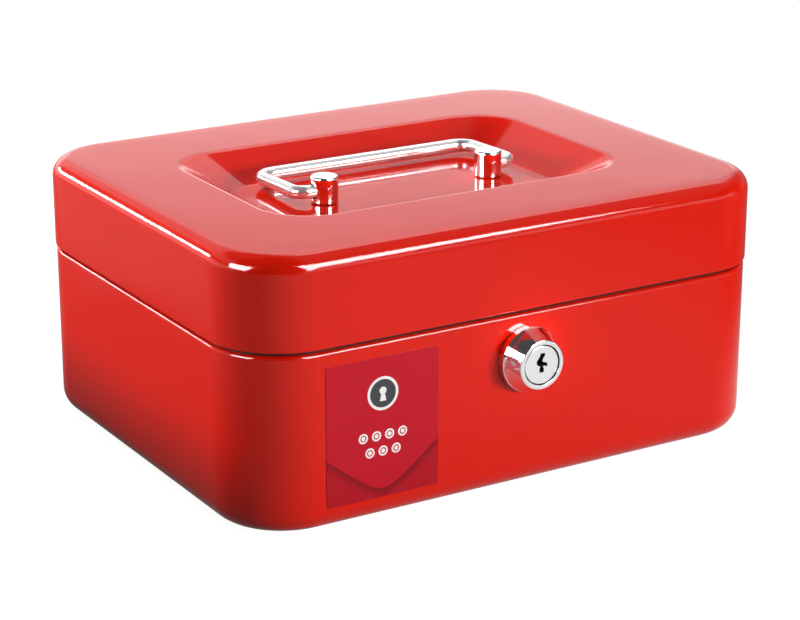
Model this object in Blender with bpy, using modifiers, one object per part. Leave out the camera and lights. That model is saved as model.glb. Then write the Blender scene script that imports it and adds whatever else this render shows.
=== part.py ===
"""A small steel cash box: drawn base, hinged lid with a sunk bail handle, a cylinder lock and a coin tray.

The box stands on z = 0, centred on x and y.  The lock faces -Y and the hinges are at +Y.
The rest pose is shut and unlocked, with the bail lying back.  All lengths are in metres.
"""

import math

import bmesh
import bpy
from mathutils import Matrix, Vector

MM = 0.001

# Overall size
BOX_HALF_X = 100.0 * MM
BOX_HALF_Y = 80.0 * MM
BOX_HEIGHT = 90.0 * MM
SHEET = 1.0 * MM
GAP = 0.3 * MM

# Base: a drawn tub whose wall steps in at a rounded shoulder to a lip that stands inside the lid
BASE_INSET = 0.4 * MM
BASE_CORNER = 24.6 * MM
BASE_BOTTOM_RADIUS = 7.5 * MM
SHOULDER_TOP = 59.2 * MM
SHOULDER_RADIUS = 1.35 * MM
LIP_INSET = 1.8 * MM
LIP_TOP = 65.0 * MM

# Lid: a drawn cover with a sunk panel for the handle
LID_EDGE_Z = 60.0 * MM
LID_CORNER = 25.0 * MM
LID_TOP_RADIUS = 6.0 * MM

# Sunk panel: how far each ring of its profile is inside the mouth, and how deep
PANEL_HALF_X = 67.5 * MM
PANEL_HALF_Y = 44.7 * MM
PANEL_CORNER = 19.0 * MM
PANEL_FLOOR_CORNER = 9.0 * MM
PANEL_DEPTH = 9.3 * MM
PANEL_PROFILE = (
    (0.0, 0.0),
    (0.7, 0.06),
    (1.4, 0.25),
    (2.04, 0.56),
    (16.3, 9.02),
    (16.8, 9.23),
    (17.3, 9.3),
)

# Handle: two posts on the panel floor and a wire bail
HANDLE_X = 2.8 * MM
POST_X = 32.4 * MM
POST_Y = -2.5 * MM
POST_RADIUS = 4.7 * MM
POST_TOP = 90.2 * MM
TENON_RADIUS = 2.0 * MM
TENON_HEAD_RADIUS = 3.2 * MM
WASHER_RADIUS = 5.0 * MM
WASHER_THICK = 0.8 * MM
BAIL_RADIUS = 2.3 * MM
BAIL_HALF_X = 42.2 * MM
BAIL_BAR_Y = 27.4 * MM
BAIL_BAR_Z = 84.1 * MM
BAIL_PIVOT_Z = 85.0 * MM
BAIL_END_X = 32.0 * MM
BAIL_END_BEND = 4.0 * MM
BAIL_BAR_BEND = 6.0 * MM
POST_HOLE_RADIUS = 2.65 * MM

# Hinges: two, outside the back wall, level with the seam
HINGE_X = 62.0 * MM
HINGE_Y = 82.7 * MM
HINGE_Z = 60.0 * MM
HINGE_HALF = 18.0 * MM
KNUCKLE_RADIUS = 2.2 * MM
KNUCKLE_BORE = 1.35 * MM
KNUCKLE_SPLIT = 6.0 * MM
KNUCKLE_GAP = 0.4 * MM
HINGE_PIN_RADIUS = 1.1 * MM
LEAF_THICK = 0.9 * MM
BASE_LEAF_BOTTOM = 40.0 * MM
LID_LEAF_TOP = 79.0 * MM

# Lock: axis along Y, in the middle of the front wall
LOCK_Z = 44.0 * MM
LOCK_FACE_Y = -88.6 * MM
LOCK_FLANGE_RADIUS = 10.8 * MM
LOCK_FACE_RADIUS = 8.2 * MM
LOCK_BARREL_RADIUS = 7.5 * MM
LOCK_BARREL_END_Y = -65.6 * MM
LOCK_BORE_RADIUS = 6.65 * MM
PLUG_RADIUS = 6.3 * MM
PLUG_FACE_Y = -88.3 * MM
PLUG_END_Y = -65.2 * MM
STUB_HALF = 2.5 * MM
STUB_END_Y = -62.9 * MM
KEYWAY_DEPTH = 19.0 * MM
KEYWAY_OUTLINE = (
    (-0.6, 3.9),
    (-0.8, 3.0),
    (-1.5, 2.1),
    (-2.1, 1.2),
    (-1.7, 0.1),
    (-0.6, -0.5),
    (-0.9, -1.1),
    (-0.9, -2.5),
    (0.7, -2.5),
    (0.8, -1.4),
    (0.4, -0.5),
    (1.2, -0.3),
    (1.6, -0.9),
    (2.2, -0.2),
    (1.7, 0.6),
    (0.9, 0.8),
    (0.2, 1.1),
    (0.3, 1.9),
    (1.1, 3.0),
    (1.1, 3.9),
)
NUT_ACROSS_FLATS = 19.0 * MM
NUT_THICK = 3.0 * MM
WAFER_COUNT = 4
WAFER_FIRST_Y = -84.0 * MM
WAFER_PITCH = 3.2 * MM
WAFER_THICK = 0.8 * MM
WAFER_SLOT = 1.5 * MM

# Cam on the plug's stub, and the catch it hooks over on the lid
CAM_FRONT_Y = -64.4 * MM
CAM_THICK = 1.4 * MM
CAM_REACH = 17.5 * MM
CAM_HOOK_UNDER = 14.2 * MM
CAM_HOOK_SIDE = 9.0 * MM
CAM_HALF_WIDTH = 3.0 * MM
CAM_BOSS_RADIUS = 5.0 * MM
CATCH_X0 = 4.2 * MM
CATCH_X1 = 14.0 * MM
CATCH_PLATE_Y = -75.9 * MM
CATCH_REACH_Y = -61.0 * MM
CATCH_TOP = 82.0 * MM
CATCH_STEP_TOP = 71.0 * MM
CATCH_STEP_LOW = 68.4 * MM

# Coin tray and the two ledges it stands on
TRAY_HALF_X = 94.0 * MM
TRAY_HALF_Y = 74.0 * MM
TRAY_CORNER = 21.0 * MM
TRAY_WALL = 1.6 * MM
TRAY_BOTTOM = 36.8 * MM
TRAY_TOP = 63.0 * MM
DIVIDER_TOP = 60.5 * MM
DIVIDER_Y = 11.0 * MM
NOTCH_X0 = -24.0 * MM
NOTCH_X1 = 18.0 * MM
NOTCH_Y = -57.5 * MM
LEDGE_INNER_X = 85.0 * MM
LEDGE_HALF_LENGTH = 45.0 * MM
LEDGE_LEG = 12.0 * MM

# Label on the front wall
LABEL_X0 = -73.2 * MM
LABEL_X1 = -33.0 * MM
LABEL_Z0 = 7.8 * MM
LABEL_Z1 = 54.0 * MM
LABEL_THICK = 0.25 * MM

CORNER_STEPS = 8


def clear_scene():
    """Remove every object and the data it leaves behind."""
    for thing in list(bpy.data.objects):
        bpy.data.objects.remove(thing, do_unlink=True)
    for store in (bpy.data.meshes, bpy.data.curves, bpy.data.materials):
        for block in list(store):
            store.remove(block)


def make_collection(name):
    collection = bpy.data.collections.new(name)
    bpy.context.scene.collection.children.link(collection)
    return collection


def make_material(name, colour, roughness, metallic):
    """Return a Principled material; colour is linear RGB."""
    material = bpy.data.materials.new(name)
    material.use_nodes = True
    shader = material.node_tree.nodes["Principled BSDF"]
    shader.inputs["Base Color"].default_value = (*colour, 1.0)
    shader.inputs["Roughness"].default_value = roughness
    shader.inputs["Metallic"].default_value = metallic
    material.diffuse_color = (*colour, 1.0)
    return material


def mesh_from_bmesh(name, shape, smooth_angle=35.0):
    """Turn a bmesh into a mesh that is smooth except at edges sharper than the angle."""
    limit = math.radians(smooth_angle)
    bmesh.ops.recalc_face_normals(shape, faces=shape.faces)
    for face in shape.faces:
        face.smooth = True
    for edge in shape.edges:
        edge.smooth = edge.is_manifold and edge.calc_face_angle() < limit
    mesh = bpy.data.meshes.new(name)
    shape.to_mesh(mesh)
    shape.free()
    return mesh


def place(name, mesh, collection):
    thing = bpy.data.objects.new(name, mesh)
    collection.objects.link(thing)
    return thing


def box_between(name, low, high, collection):
    """A plain block between two opposite corners."""
    shape = bmesh.new()
    bmesh.ops.create_cube(shape, size=1.0)
    middle = (Vector(low) + Vector(high)) / 2
    extent = Vector(high) - Vector(low)
    bmesh.ops.scale(shape, vec=extent, verts=shape.verts)
    bmesh.ops.translate(shape, vec=middle, verts=shape.verts)
    return place(name, mesh_from_bmesh(name, shape), collection)


def rounded_box(name, half_x, half_y, low, high, corner, collection, bottom_radius=0.0, top_radius=0.0):
    """A block centred on x = y = 0 with round upright corners and, if asked, round rims."""
    shape = bmesh.new()
    bmesh.ops.create_cube(shape, size=1.0)
    bmesh.ops.scale(shape, vec=(2 * half_x, 2 * half_y, high - low), verts=shape.verts)
    bmesh.ops.translate(shape, vec=(0.0, 0.0, (high + low) / 2), verts=shape.verts)
    upright = [edge for edge in shape.edges if abs(edge.verts[0].co.z - edge.verts[1].co.z) > 1e-6]
    bmesh.ops.bevel(shape, geom=upright, offset=corner, segments=CORNER_STEPS, profile=0.5, affect="EDGES")
    for level, radius, steps in ((low, bottom_radius, 5), (high, top_radius, 4)):
        if radius > 0.0:
            rim = [edge for edge in shape.edges if all(abs(vert.co.z - level) < 1e-6 for vert in edge.verts)]
            bmesh.ops.bevel(shape, geom=rim, offset=radius, segments=steps, profile=0.5, affect="EDGES")
    return place(name, mesh_from_bmesh(name, shape), collection)


def rounded_ring(half_x, half_y, corner, level):
    """The points of a rounded rectangle at one height, anticlockwise."""
    points = []
    for sign_x, sign_y, start in ((1, 1, 0), (-1, 1, 90), (-1, -1, 180), (1, -1, 270)):
        for step in range(CORNER_STEPS + 1):
            angle = math.radians(start + 90.0 * step / CORNER_STEPS)
            x = sign_x * (half_x - corner) + corner * math.cos(angle)
            y = sign_y * (half_y - corner) + corner * math.sin(angle)
            points.append((x, y, level))
    return points


def loft(name, rings, collection):
    """A closed solid through rings of equal length, capped at both ends."""
    shape = bmesh.new()
    rows = [[shape.verts.new(point) for point in ring] for ring in rings]
    for lower, upper in zip(rows, rows[1:]):
        for index in range(len(lower)):
            following = (index + 1) % len(lower)
            shape.faces.new((lower[index], lower[following], upper[following], upper[index]))
    shape.faces.new(list(reversed(rows[0])))
    shape.faces.new(rows[-1])
    return place(name, mesh_from_bmesh(name, shape), collection)


def settle(thing):
    """Replace an object's mesh by its finished shape, with modifiers and transform applied."""
    depsgraph = bpy.context.evaluated_depsgraph_get()
    evaluated = thing.evaluated_get(depsgraph)
    mesh = bpy.data.meshes.new_from_object(evaluated)
    mesh.transform(thing.matrix_world)
    shape = bmesh.new()
    shape.from_mesh(mesh)
    bmesh.ops.remove_doubles(shape, verts=shape.verts, dist=0.00001)
    name = thing.name
    collection = thing.users_collection[0]
    bpy.data.meshes.remove(mesh)
    bpy.data.objects.remove(thing, do_unlink=True)
    return place(name, mesh_from_bmesh(name, shape), collection)


def extruded(name, outline, start, end, axis, collection):
    """A flat outline drawn square to an axis and extruded along it from start to end.

    Along X the outline is (y, z); along Y it is (x, z); along Z it is (x, y).
    """
    curve = bpy.data.curves.new(name, "CURVE")
    curve.dimensions = "2D"
    curve.fill_mode = "BOTH"
    curve.extrude = (end - start) / 2
    spline = curve.splines.new("POLY")
    spline.points.add(len(outline) - 1)
    for point, (first, second) in zip(spline.points, outline):
        point.co = (first, second, 0.0, 1.0)
    spline.use_cyclic_u = True
    thing = place(name, curve, collection)
    middle = (start + end) / 2
    columns = {
        "X": (Vector((0, 1, 0)), Vector((0, 0, 1)), Vector((1, 0, 0))),
        "Y": (Vector((1, 0, 0)), Vector((0, 0, 1)), Vector((0, -1, 0))),
        "Z": (Vector((1, 0, 0)), Vector((0, 1, 0)), Vector((0, 0, 1))),
    }[axis]
    turn = Matrix(columns).transposed().to_4x4()
    shift = {"X": (middle, 0, 0), "Y": (0, middle, 0), "Z": (0, 0, middle)}[axis]
    thing.matrix_world = Matrix.Translation(shift) @ turn
    bpy.context.view_layer.update()
    return settle(thing)


def turned(name, profile, origin, direction, steps, collection, closed=False):
    """A turned solid: a profile of (radius, distance) swept about an axis through the origin.

    The profile runs down its outer side, from the far end of the axis to the near end.
    """
    mesh = bpy.data.meshes.new(name)
    edges = [(index, index + 1) for index in range(len(profile) - 1)]
    if closed:
        edges.append((len(profile) - 1, 0))
    mesh.from_pydata([(radius, 0.0, distance) for radius, distance in profile], edges, [])
    thing = place(name, mesh, collection)
    thing.matrix_world = Matrix.Translation(origin) @ Vector(direction).to_track_quat("Z", "Y").to_matrix().to_4x4()
    screw = thing.modifiers.new("turn", "SCREW")
    screw.axis = "Z"
    screw.angle = math.tau
    screw.steps = steps
    screw.render_steps = steps
    screw.use_merge_vertices = True
    screw.merge_threshold = 0.00001
    bpy.context.view_layer.update()
    return settle(thing)


def boolean(thing, tool, operation):
    """Cut, join or meet one object with another, exactly."""
    modifier = thing.modifiers.new(operation.lower(), "BOOLEAN")
    modifier.operation = operation
    modifier.solver = "EXACT"
    modifier.object = tool
    tool.hide_render = True
    tool.display_type = "WIRE"


def cut(thing, *tools):
    for tool in tools:
        boolean(thing, tool, "DIFFERENCE")


def join(thing, *tools):
    for tool in tools:
        boolean(thing, tool, "UNION")


def rod(name, radius, start, end, collection, steps=20):
    """A plain round bar from one point to another."""
    start = Vector(start)
    reach = Vector(end) - start
    profile = [(0.0, reach.length), (radius, reach.length), (radius, 0.0), (0.0, 0.0)]
    return turned(name, profile, start, reach.normalized(), steps, collection)


def panel_solid(name, spread, drop, collection):
    """The sunk panel's hollow, or with spread and drop the skin that surrounds it."""
    rings = []
    for inset, depth in PANEL_PROFILE:
        share = inset / PANEL_PROFILE[-1][0]
        corner = PANEL_CORNER + (PANEL_FLOOR_CORNER - PANEL_CORNER) * share
        half_x = PANEL_HALF_X - inset * MM + spread
        half_y = PANEL_HALF_Y - inset * MM + spread
        level = BOX_HEIGHT - depth * MM - drop
        rings.append(rounded_ring(half_x, half_y, corner + spread, level))
    if spread == 0.0:
        rings.insert(0, [(x, y, BOX_HEIGHT + 4 * MM) for x, y, _ in rings[0]])
    else:
        rings[0] = [(x, y, BOX_HEIGHT - SHEET / 2) for x, y, _ in rings[0]]
    return loft(name, list(reversed(rings)), collection)


def make_base_shell(parts, tools):
    half_x = BOX_HALF_X - BASE_INSET
    half_y = BOX_HALF_Y - BASE_INSET
    shell = rounded_box(
        "base_shell", half_x, half_y, 0.0, SHOULDER_TOP, BASE_CORNER, parts, BASE_BOTTOM_RADIUS, SHOULDER_RADIUS
    )
    lip_x = BOX_HALF_X - LIP_INSET
    lip_y = BOX_HALF_Y - LIP_INSET
    lip_corner = BASE_CORNER + BASE_INSET - LIP_INSET
    lip = rounded_box("tool_lip", lip_x, lip_y, 40 * MM, LIP_TOP, lip_corner, tools)
    join(shell, lip)
    hollow = rounded_box(
        "tool_base_hollow",
        half_x - SHEET,
        half_y - SHEET,
        SHEET,
        SHOULDER_TOP - SHEET,
        BASE_CORNER - SHEET,
        tools,
        BASE_BOTTOM_RADIUS - SHEET,
        SHOULDER_RADIUS - 0.4 * MM,
    )
    mouth = rounded_box("tool_mouth", lip_x - SHEET, lip_y - SHEET, 45 * MM, 75 * MM, lip_corner - SHEET, tools)
    lock_hole = rod(
        "tool_lock_hole",
        LOCK_BARREL_RADIUS + GAP,
        (0.0, -90 * MM, LOCK_Z),
        (0.0, -70 * MM, LOCK_Z),
        tools,
        32,
    )
    cut(shell, hollow, mouth, lock_hole)
    return shell


def make_lid_shell(parts, tools):
    shell = rounded_box(
        "lid_shell",
        BOX_HALF_X,
        BOX_HALF_Y,
        LID_EDGE_Z,
        BOX_HEIGHT,
        LID_CORNER,
        parts,
        top_radius=LID_TOP_RADIUS,
    )
    hollow = rounded_box(
        "tool_lid_hollow",
        BOX_HALF_X - SHEET,
        BOX_HALF_Y - SHEET,
        50 * MM,
        BOX_HEIGHT - SHEET,
        LID_CORNER - SHEET,
        tools,
        top_radius=LID_TOP_RADIUS - SHEET,
    )
    cut(shell, hollow)
    join(shell, panel_solid("tool_panel_skin", SHEET, SHEET, tools))
    cut(shell, panel_solid("tool_panel", 0.0, 0.0, tools))
    floor = BOX_HEIGHT - PANEL_DEPTH
    for side in (-1, 1):
        start = (HANDLE_X + side * POST_X, POST_Y, floor - 5 * MM)
        end = (HANDLE_X + side * POST_X, POST_Y, floor + 5 * MM)
        cut(shell, rod(f"tool_tenon_hole_{side + 1}", TENON_RADIUS + GAP, start, end, tools))
    return shell


def make_post(name, side, parts, tools):
    """A turned post with a domed top; its tenon is headed over below the panel floor."""
    floor = BOX_HEIGHT - PANEL_DEPTH
    head_top = floor - SHEET - WASHER_THICK - 3 * GAP
    head_low = head_top - 0.9 * MM
    body_low = floor + GAP
    profile = [
        (0.0, POST_TOP),
        (2.6 * MM, POST_TOP - 0.08 * MM),
        (POST_RADIUS - 0.7 * MM, POST_TOP - 0.3 * MM),
        (POST_RADIUS - 0.2 * MM, POST_TOP - 0.6 * MM),
        (POST_RADIUS, POST_TOP - 1.2 * MM),
        (POST_RADIUS, body_low),
        (TENON_RADIUS, body_low),
        (TENON_RADIUS, head_top),
        (TENON_HEAD_RADIUS, head_top),
        (TENON_HEAD_RADIUS - 0.7 * MM, head_low),
        (0.0, head_low - 0.2 * MM),
    ]
    post = turned(name, profile, (HANDLE_X + side * POST_X, POST_Y, 0.0), (0, 0, 1), 24, parts)
    inner = (HANDLE_X + side * (BAIL_END_X - 1.0 * MM), POST_Y, BAIL_PIVOT_Z)
    outer = (HANDLE_X + side * (POST_X + 10 * MM), POST_Y, BAIL_PIVOT_Z)
    cut(post, rod(f"tool_{name}_hole", POST_HOLE_RADIUS, inner, outer, tools, 24))
    return post


def make_post_washer(name, side, parts):
    low = BOX_HEIGHT - PANEL_DEPTH - SHEET - GAP - WASHER_THICK
    bore = TENON_RADIUS + GAP
    profile = [
        (WASHER_RADIUS, WASHER_THICK),
        (WASHER_RADIUS, 0.0),
        (bore, 0.0),
        (bore, WASHER_THICK),
    ]
    foot = (HANDLE_X + side * POST_X, POST_Y, low)
    return turned(name, profile, foot, (0, 0, 1), 24, parts, closed=True)


def rounded_path(corners, radii, steps=5):
    """A polyline through corners, each inner corner replaced by an arc."""
    points = [Vector(corners[0])]
    for before, corner, after, radius in zip(corners, corners[1:], corners[2:], radii):
        before = Vector(before)
        corner = Vector(corner)
        after = Vector(after)
        incoming = (before - corner).normalized()
        outgoing = (after - corner).normalized()
        half_angle = incoming.angle(outgoing) / 2
        setback = radius / math.tan(half_angle)
        centre = corner + (incoming + outgoing).normalized() * (radius / math.sin(half_angle))
        start = corner + incoming * setback - centre
        end = corner + outgoing * setback - centre
        sweep = start.angle(end)
        for step in range(steps + 1):
            share = step / steps
            arm = (start * math.sin((1 - share) * sweep) + end * math.sin(share * sweep)) / math.sin(sweep)
            points.append(centre + arm)
    points.append(Vector(corners[-1]))
    return points


def make_bail(parts):
    """One round wire: two turned-in ends, two arms and the grip bar, lying back."""
    corners = [
        (HANDLE_X - BAIL_END_X, POST_Y, BAIL_PIVOT_Z),
        (HANDLE_X - BAIL_HALF_X, POST_Y, BAIL_PIVOT_Z),
        (HANDLE_X - BAIL_HALF_X, BAIL_BAR_Y, BAIL_BAR_Z),
        (HANDLE_X + BAIL_HALF_X, BAIL_BAR_Y, BAIL_BAR_Z),
        (HANDLE_X + BAIL_HALF_X, POST_Y, BAIL_PIVOT_Z),
        (HANDLE_X + BAIL_END_X, POST_Y, BAIL_PIVOT_Z),
    ]
    radii = [BAIL_END_BEND, BAIL_BAR_BEND, BAIL_BAR_BEND, BAIL_END_BEND]
    curve = bpy.data.curves.new("handle_bail", "CURVE")
    curve.dimensions = "3D"
    curve.bevel_depth = BAIL_RADIUS
    curve.bevel_resolution = 4
    curve.use_fill_caps = True
    points = rounded_path(corners, radii)
    spline = curve.splines.new("POLY")
    spline.points.add(len(points) - 1)
    for point, position in zip(spline.points, points):
        point.co = (*position, 1.0)
    bail = place("handle_bail", curve, parts)
    bpy.context.view_layer.update()
    return settle(bail)


def arc(centre, radius, start, end, steps):
    """Points of a circular arc, by angle in degrees."""
    points = []
    for step in range(steps + 1):
        angle = math.radians(start + (end - start) * step / steps)
        points.append((centre[0] + radius * math.cos(angle), centre[1] + radius * math.sin(angle)))
    return points


def make_base_leaf(name, x, parts, tools):
    """Leaf on the base: a plate below the seam with a knuckle at each end."""
    inner = BOX_HALF_Y - BASE_INSET + GAP
    outer = inner + LEAF_THICK
    outline = [(inner, BASE_LEAF_BOTTOM), (inner, HINGE_Z - 2.8 * MM)]
    outline += arc((HINGE_Y, HINGE_Z), KNUCKLE_RADIUS, 180, -135, 21)
    outline += [(outer, HINGE_Z - 3.4 * MM), (outer, BASE_LEAF_BOTTOM)]
    leaf = extruded(name, outline, x - HINGE_HALF, x + HINGE_HALF, "X", parts)
    reach = KNUCKLE_SPLIT + KNUCKLE_GAP / 2
    space = box_between(
        f"tool_{name}_space",
        (x - reach, inner - MM, HINGE_Z - 3.1 * MM),
        (x + reach, HINGE_Y + 4 * MM, HINGE_Z + 4 * MM),
        tools,
    )
    cut(leaf, space, knuckle_bore(name, x, tools))
    return leaf


def make_lid_leaf(name, x, parts, tools):
    """Leaf on the lid: a plate above the seam with one knuckle in the middle."""
    inner = BOX_HALF_Y + GAP
    outer = inner + LEAF_THICK
    outline = [(inner, LID_LEAF_TOP), (inner, HINGE_Z + 2.8 * MM)]
    outline += arc((HINGE_Y, HINGE_Z), KNUCKLE_RADIUS, 180, 495, 21)
    outline += [(outer, HINGE_Z + 3.4 * MM), (outer, LID_LEAF_TOP)]
    leaf = extruded(name, outline, x - HINGE_HALF, x + HINGE_HALF, "X", parts)
    reach = KNUCKLE_SPLIT - KNUCKLE_GAP / 2
    for side in (-1, 1):
        near = x + side * reach
        far = x + side * (HINGE_HALF + 2 * MM)
        space = box_between(
            f"tool_{name}_space_{side + 1}",
            (min(near, far), inner - MM, HINGE_Z - 4 * MM),
            (max(near, far), HINGE_Y + 4 * MM, HINGE_Z + 3.1 * MM),
            tools,
        )
        cut(leaf, space)
    cut(leaf, knuckle_bore(name, x, tools))
    return leaf


def knuckle_bore(name, x, tools):
    start = (x - HINGE_HALF - 2 * MM, HINGE_Y, HINGE_Z)
    end = (x + HINGE_HALF + 2 * MM, HINGE_Y, HINGE_Z)
    return rod(f"tool_{name}_bore", KNUCKLE_BORE, start, end, tools, 16)


def make_hinge_pin(name, x, parts):
    """A pin headed at both ends."""
    half = HINGE_HALF + GAP
    head = KNUCKLE_RADIUS - 0.3 * MM
    profile = [
        (0.0, half + 0.8 * MM),
        (head - 0.5 * MM, half + 0.8 * MM),
        (head, half + 0.4 * MM),
        (head, half),
        (HINGE_PIN_RADIUS, half),
        (HINGE_PIN_RADIUS, -half),
        (head, -half),
        (head, -half - 0.4 * MM),
        (head - 0.5 * MM, -half - 0.8 * MM),
        (0.0, -half - 0.8 * MM),
    ]
    return turned(name, profile, (x, HINGE_Y, HINGE_Z), (1, 0, 0), 16, parts)


def make_lock_housing(parts):
    """The fixed cylinder: a conical rose outside the wall and a barrel through it."""
    wall = -(BOX_HALF_Y - BASE_INSET)
    rose_back = -wall + GAP
    rise = -LOCK_FACE_Y
    end = -LOCK_BARREL_END_Y
    profile = [
        (LOCK_BORE_RADIUS, rise),
        (LOCK_FACE_RADIUS - 0.5 * MM, rise),
        (LOCK_FACE_RADIUS - 0.1 * MM, rise - 0.2 * MM),
        (LOCK_FACE_RADIUS, rise - 0.6 * MM),
        (LOCK_FLANGE_RADIUS - 0.25 * MM, rose_back + 2.8 * MM),
        (LOCK_FLANGE_RADIUS, rose_back + 2.3 * MM),
        (LOCK_FLANGE_RADIUS, rose_back),
        (LOCK_BARREL_RADIUS, rose_back),
        (LOCK_BARREL_RADIUS, end),
        (LOCK_BORE_RADIUS, end),
    ]
    return turned("lock_housing", profile, (0.0, 0.0, LOCK_Z), (0, -1, 0), 40, parts, closed=True)


def make_lock_nut(parts, tools):
    """Hexagonal nut that holds the housing against the wall from inside."""
    wall = -(BOX_HALF_Y - BASE_INSET - SHEET)
    start = wall + GAP
    radius = NUT_ACROSS_FLATS / math.sqrt(3)
    outline = [(x, z + LOCK_Z) for x, z in arc((0.0, 0.0), radius, 0, 300, 5)]
    nut = extruded("lock_nut", outline, start, start + NUT_THICK, "Y", parts)
    bore = rod(
        "tool_nut_bore",
        LOCK_BARREL_RADIUS + GAP,
        (0.0, start - 3 * MM, LOCK_Z),
        (0.0, start + NUT_THICK + 3 * MM, LOCK_Z),
        tools,
        32,
    )
    cut(nut, bore)
    return nut


def make_lock_plug(parts, tools):
    """The turning plug: a warded keyway from the front, wafer slots, and a square stub for the cam."""
    profile = [
        (0.0, -PLUG_FACE_Y),
        (PLUG_RADIUS - 0.4 * MM, -PLUG_FACE_Y),
        (PLUG_RADIUS, -PLUG_FACE_Y - 0.4 * MM),
        (PLUG_RADIUS, -PLUG_END_Y),
        (0.0, -PLUG_END_Y),
    ]
    plug = turned("lock_plug", profile, (0.0, 0.0, LOCK_Z), (0, -1, 0), 32, parts)
    stub = box_between(
        "tool_stub",
        (-STUB_HALF, PLUG_END_Y - 3 * MM, LOCK_Z - STUB_HALF),
        (STUB_HALF, STUB_END_Y, LOCK_Z + STUB_HALF),
        tools,
    )
    join(plug, stub)
    outline = [(x * MM, z * MM + LOCK_Z) for x, z in KEYWAY_OUTLINE]
    keyway = extruded("tool_keyway", outline, PLUG_FACE_Y - 3 * MM, PLUG_FACE_Y + KEYWAY_DEPTH, "Y", tools)
    cut(plug, keyway)
    for index in range(WAFER_COUNT):
        middle = WAFER_FIRST_Y + index * WAFER_PITCH
        slot = box_between(
            f"tool_wafer_slot_{index + 1}",
            (-3.4 * MM, middle - WAFER_SLOT / 2, LOCK_Z - 8 * MM),
            (3.4 * MM, middle + WAFER_SLOT / 2, LOCK_Z + 8 * MM),
            tools,
        )
        cut(plug, slot)
    screw_hole = rod(
        "tool_screw_hole",
        1.6 * MM,
        (0.0, PLUG_END_Y - 2.4 * MM, LOCK_Z),
        (0.0, STUB_END_Y + 2 * MM, LOCK_Z),
        tools,
        16,
    )
    cut(plug, screw_hole)
    return plug


def make_wafer(index, parts, tools):
    """A flat wafer with round ends and a window for the key blade."""
    middle = WAFER_FIRST_Y + (index - 1) * WAFER_PITCH
    half_width = 3.1 * MM
    end_radius = 5.9 * MM
    lean = math.degrees(math.asin(half_width / end_radius))
    top = arc((0.0, LOCK_Z), end_radius, 90 - lean, 90 + lean, 4)
    low = arc((0.0, LOCK_Z), end_radius, 270 - lean, 270 + lean, 4)
    start = middle - WAFER_THICK / 2
    wafer = extruded(f"lock_wafer_{index}", top + low, start, start + WAFER_THICK, "Y", parts)
    window = box_between(
        f"tool_wafer_window_{index}",
        (-2.2 * MM, start - MM, LOCK_Z - 3.9 * MM),
        (2.2 * MM, start + WAFER_THICK + MM, LOCK_Z + 3.9 * MM),
        tools,
    )
    cut(wafer, window)
    return wafer


def make_cam(parts, tools):
    """The hooked cam, drawn here as it lies unlocked: arm towards -X, hook up."""
    upright = arc((0.0, 0.0), CAM_BOSS_RADIUS, 143, 397, 12)
    upright += [
        (CAM_HALF_WIDTH, CAM_HOOK_UNDER),
        (CAM_HOOK_SIDE, CAM_HOOK_UNDER),
        (CAM_HOOK_SIDE, CAM_REACH - 1.5 * MM),
        (CAM_HOOK_SIDE - 1.5 * MM, CAM_REACH),
        (-CAM_HALF_WIDTH + 1.5 * MM, CAM_REACH),
        (-CAM_HALF_WIDTH, CAM_REACH - 1.5 * MM),
    ]
    outline = [(-up, side + LOCK_Z) for side, up in upright]
    cam = extruded("lock_cam", outline, CAM_FRONT_Y, CAM_FRONT_Y + CAM_THICK, "Y", parts)
    half = STUB_HALF + GAP
    square = box_between(
        "tool_cam_square",
        (-half, CAM_FRONT_Y - MM, LOCK_Z - half),
        (half, CAM_FRONT_Y + CAM_THICK + MM, LOCK_Z + half),
        tools,
    )
    cut(cam, square)
    return cam


def make_cam_screw(parts, tools):
    """Screw that holds the cam on the stub, with a slotted head."""
    head_low = STUB_END_Y + GAP
    head_top = head_low + 1.6 * MM
    profile = [
        (0.0, head_top),
        (2.4 * MM, head_top),
        (3.4 * MM, head_top - 0.7 * MM),
        (3.4 * MM, head_low),
        (1.3 * MM, head_low),
        (1.3 * MM, PLUG_END_Y - 2.0 * MM),
        (0.0, PLUG_END_Y - 2.0 * MM),
    ]
    screw = turned("cam_screw", profile, (0.0, 0.0, LOCK_Z), (0, 1, 0), 20, parts)
    slot = box_between(
        "tool_screw_slot",
        (-5 * MM, head_top - 0.7 * MM, LOCK_Z - 0.4 * MM),
        (5 * MM, head_top + MM, LOCK_Z + 0.4 * MM),
        tools,
    )
    cut(screw, slot)
    return screw


def make_lid_catch(parts):
    """Bent strip on the inside of the lid's front: it steps in past the lip, and its foot is the ledge."""
    skirt = -(BOX_HALF_Y - SHEET) + GAP
    plate = CATCH_PLATE_Y
    ledge_top = LOCK_Z + CAM_HOOK_UNDER - GAP
    bend = 0.6 * MM
    outline = [
        (skirt, CATCH_TOP),
        (skirt, CATCH_STEP_TOP),
        (plate, CATCH_STEP_LOW),
        (plate, ledge_top - SHEET),
        (CATCH_REACH_Y, ledge_top - SHEET),
        (CATCH_REACH_Y, ledge_top),
        (plate + SHEET, ledge_top),
        (plate + SHEET, CATCH_STEP_LOW + bend),
        (skirt + SHEET, CATCH_STEP_TOP + bend),
        (skirt + SHEET, CATCH_TOP),
    ]
    return extruded("lid_catch", outline, CATCH_X0, CATCH_X1, "X", parts)


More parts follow.
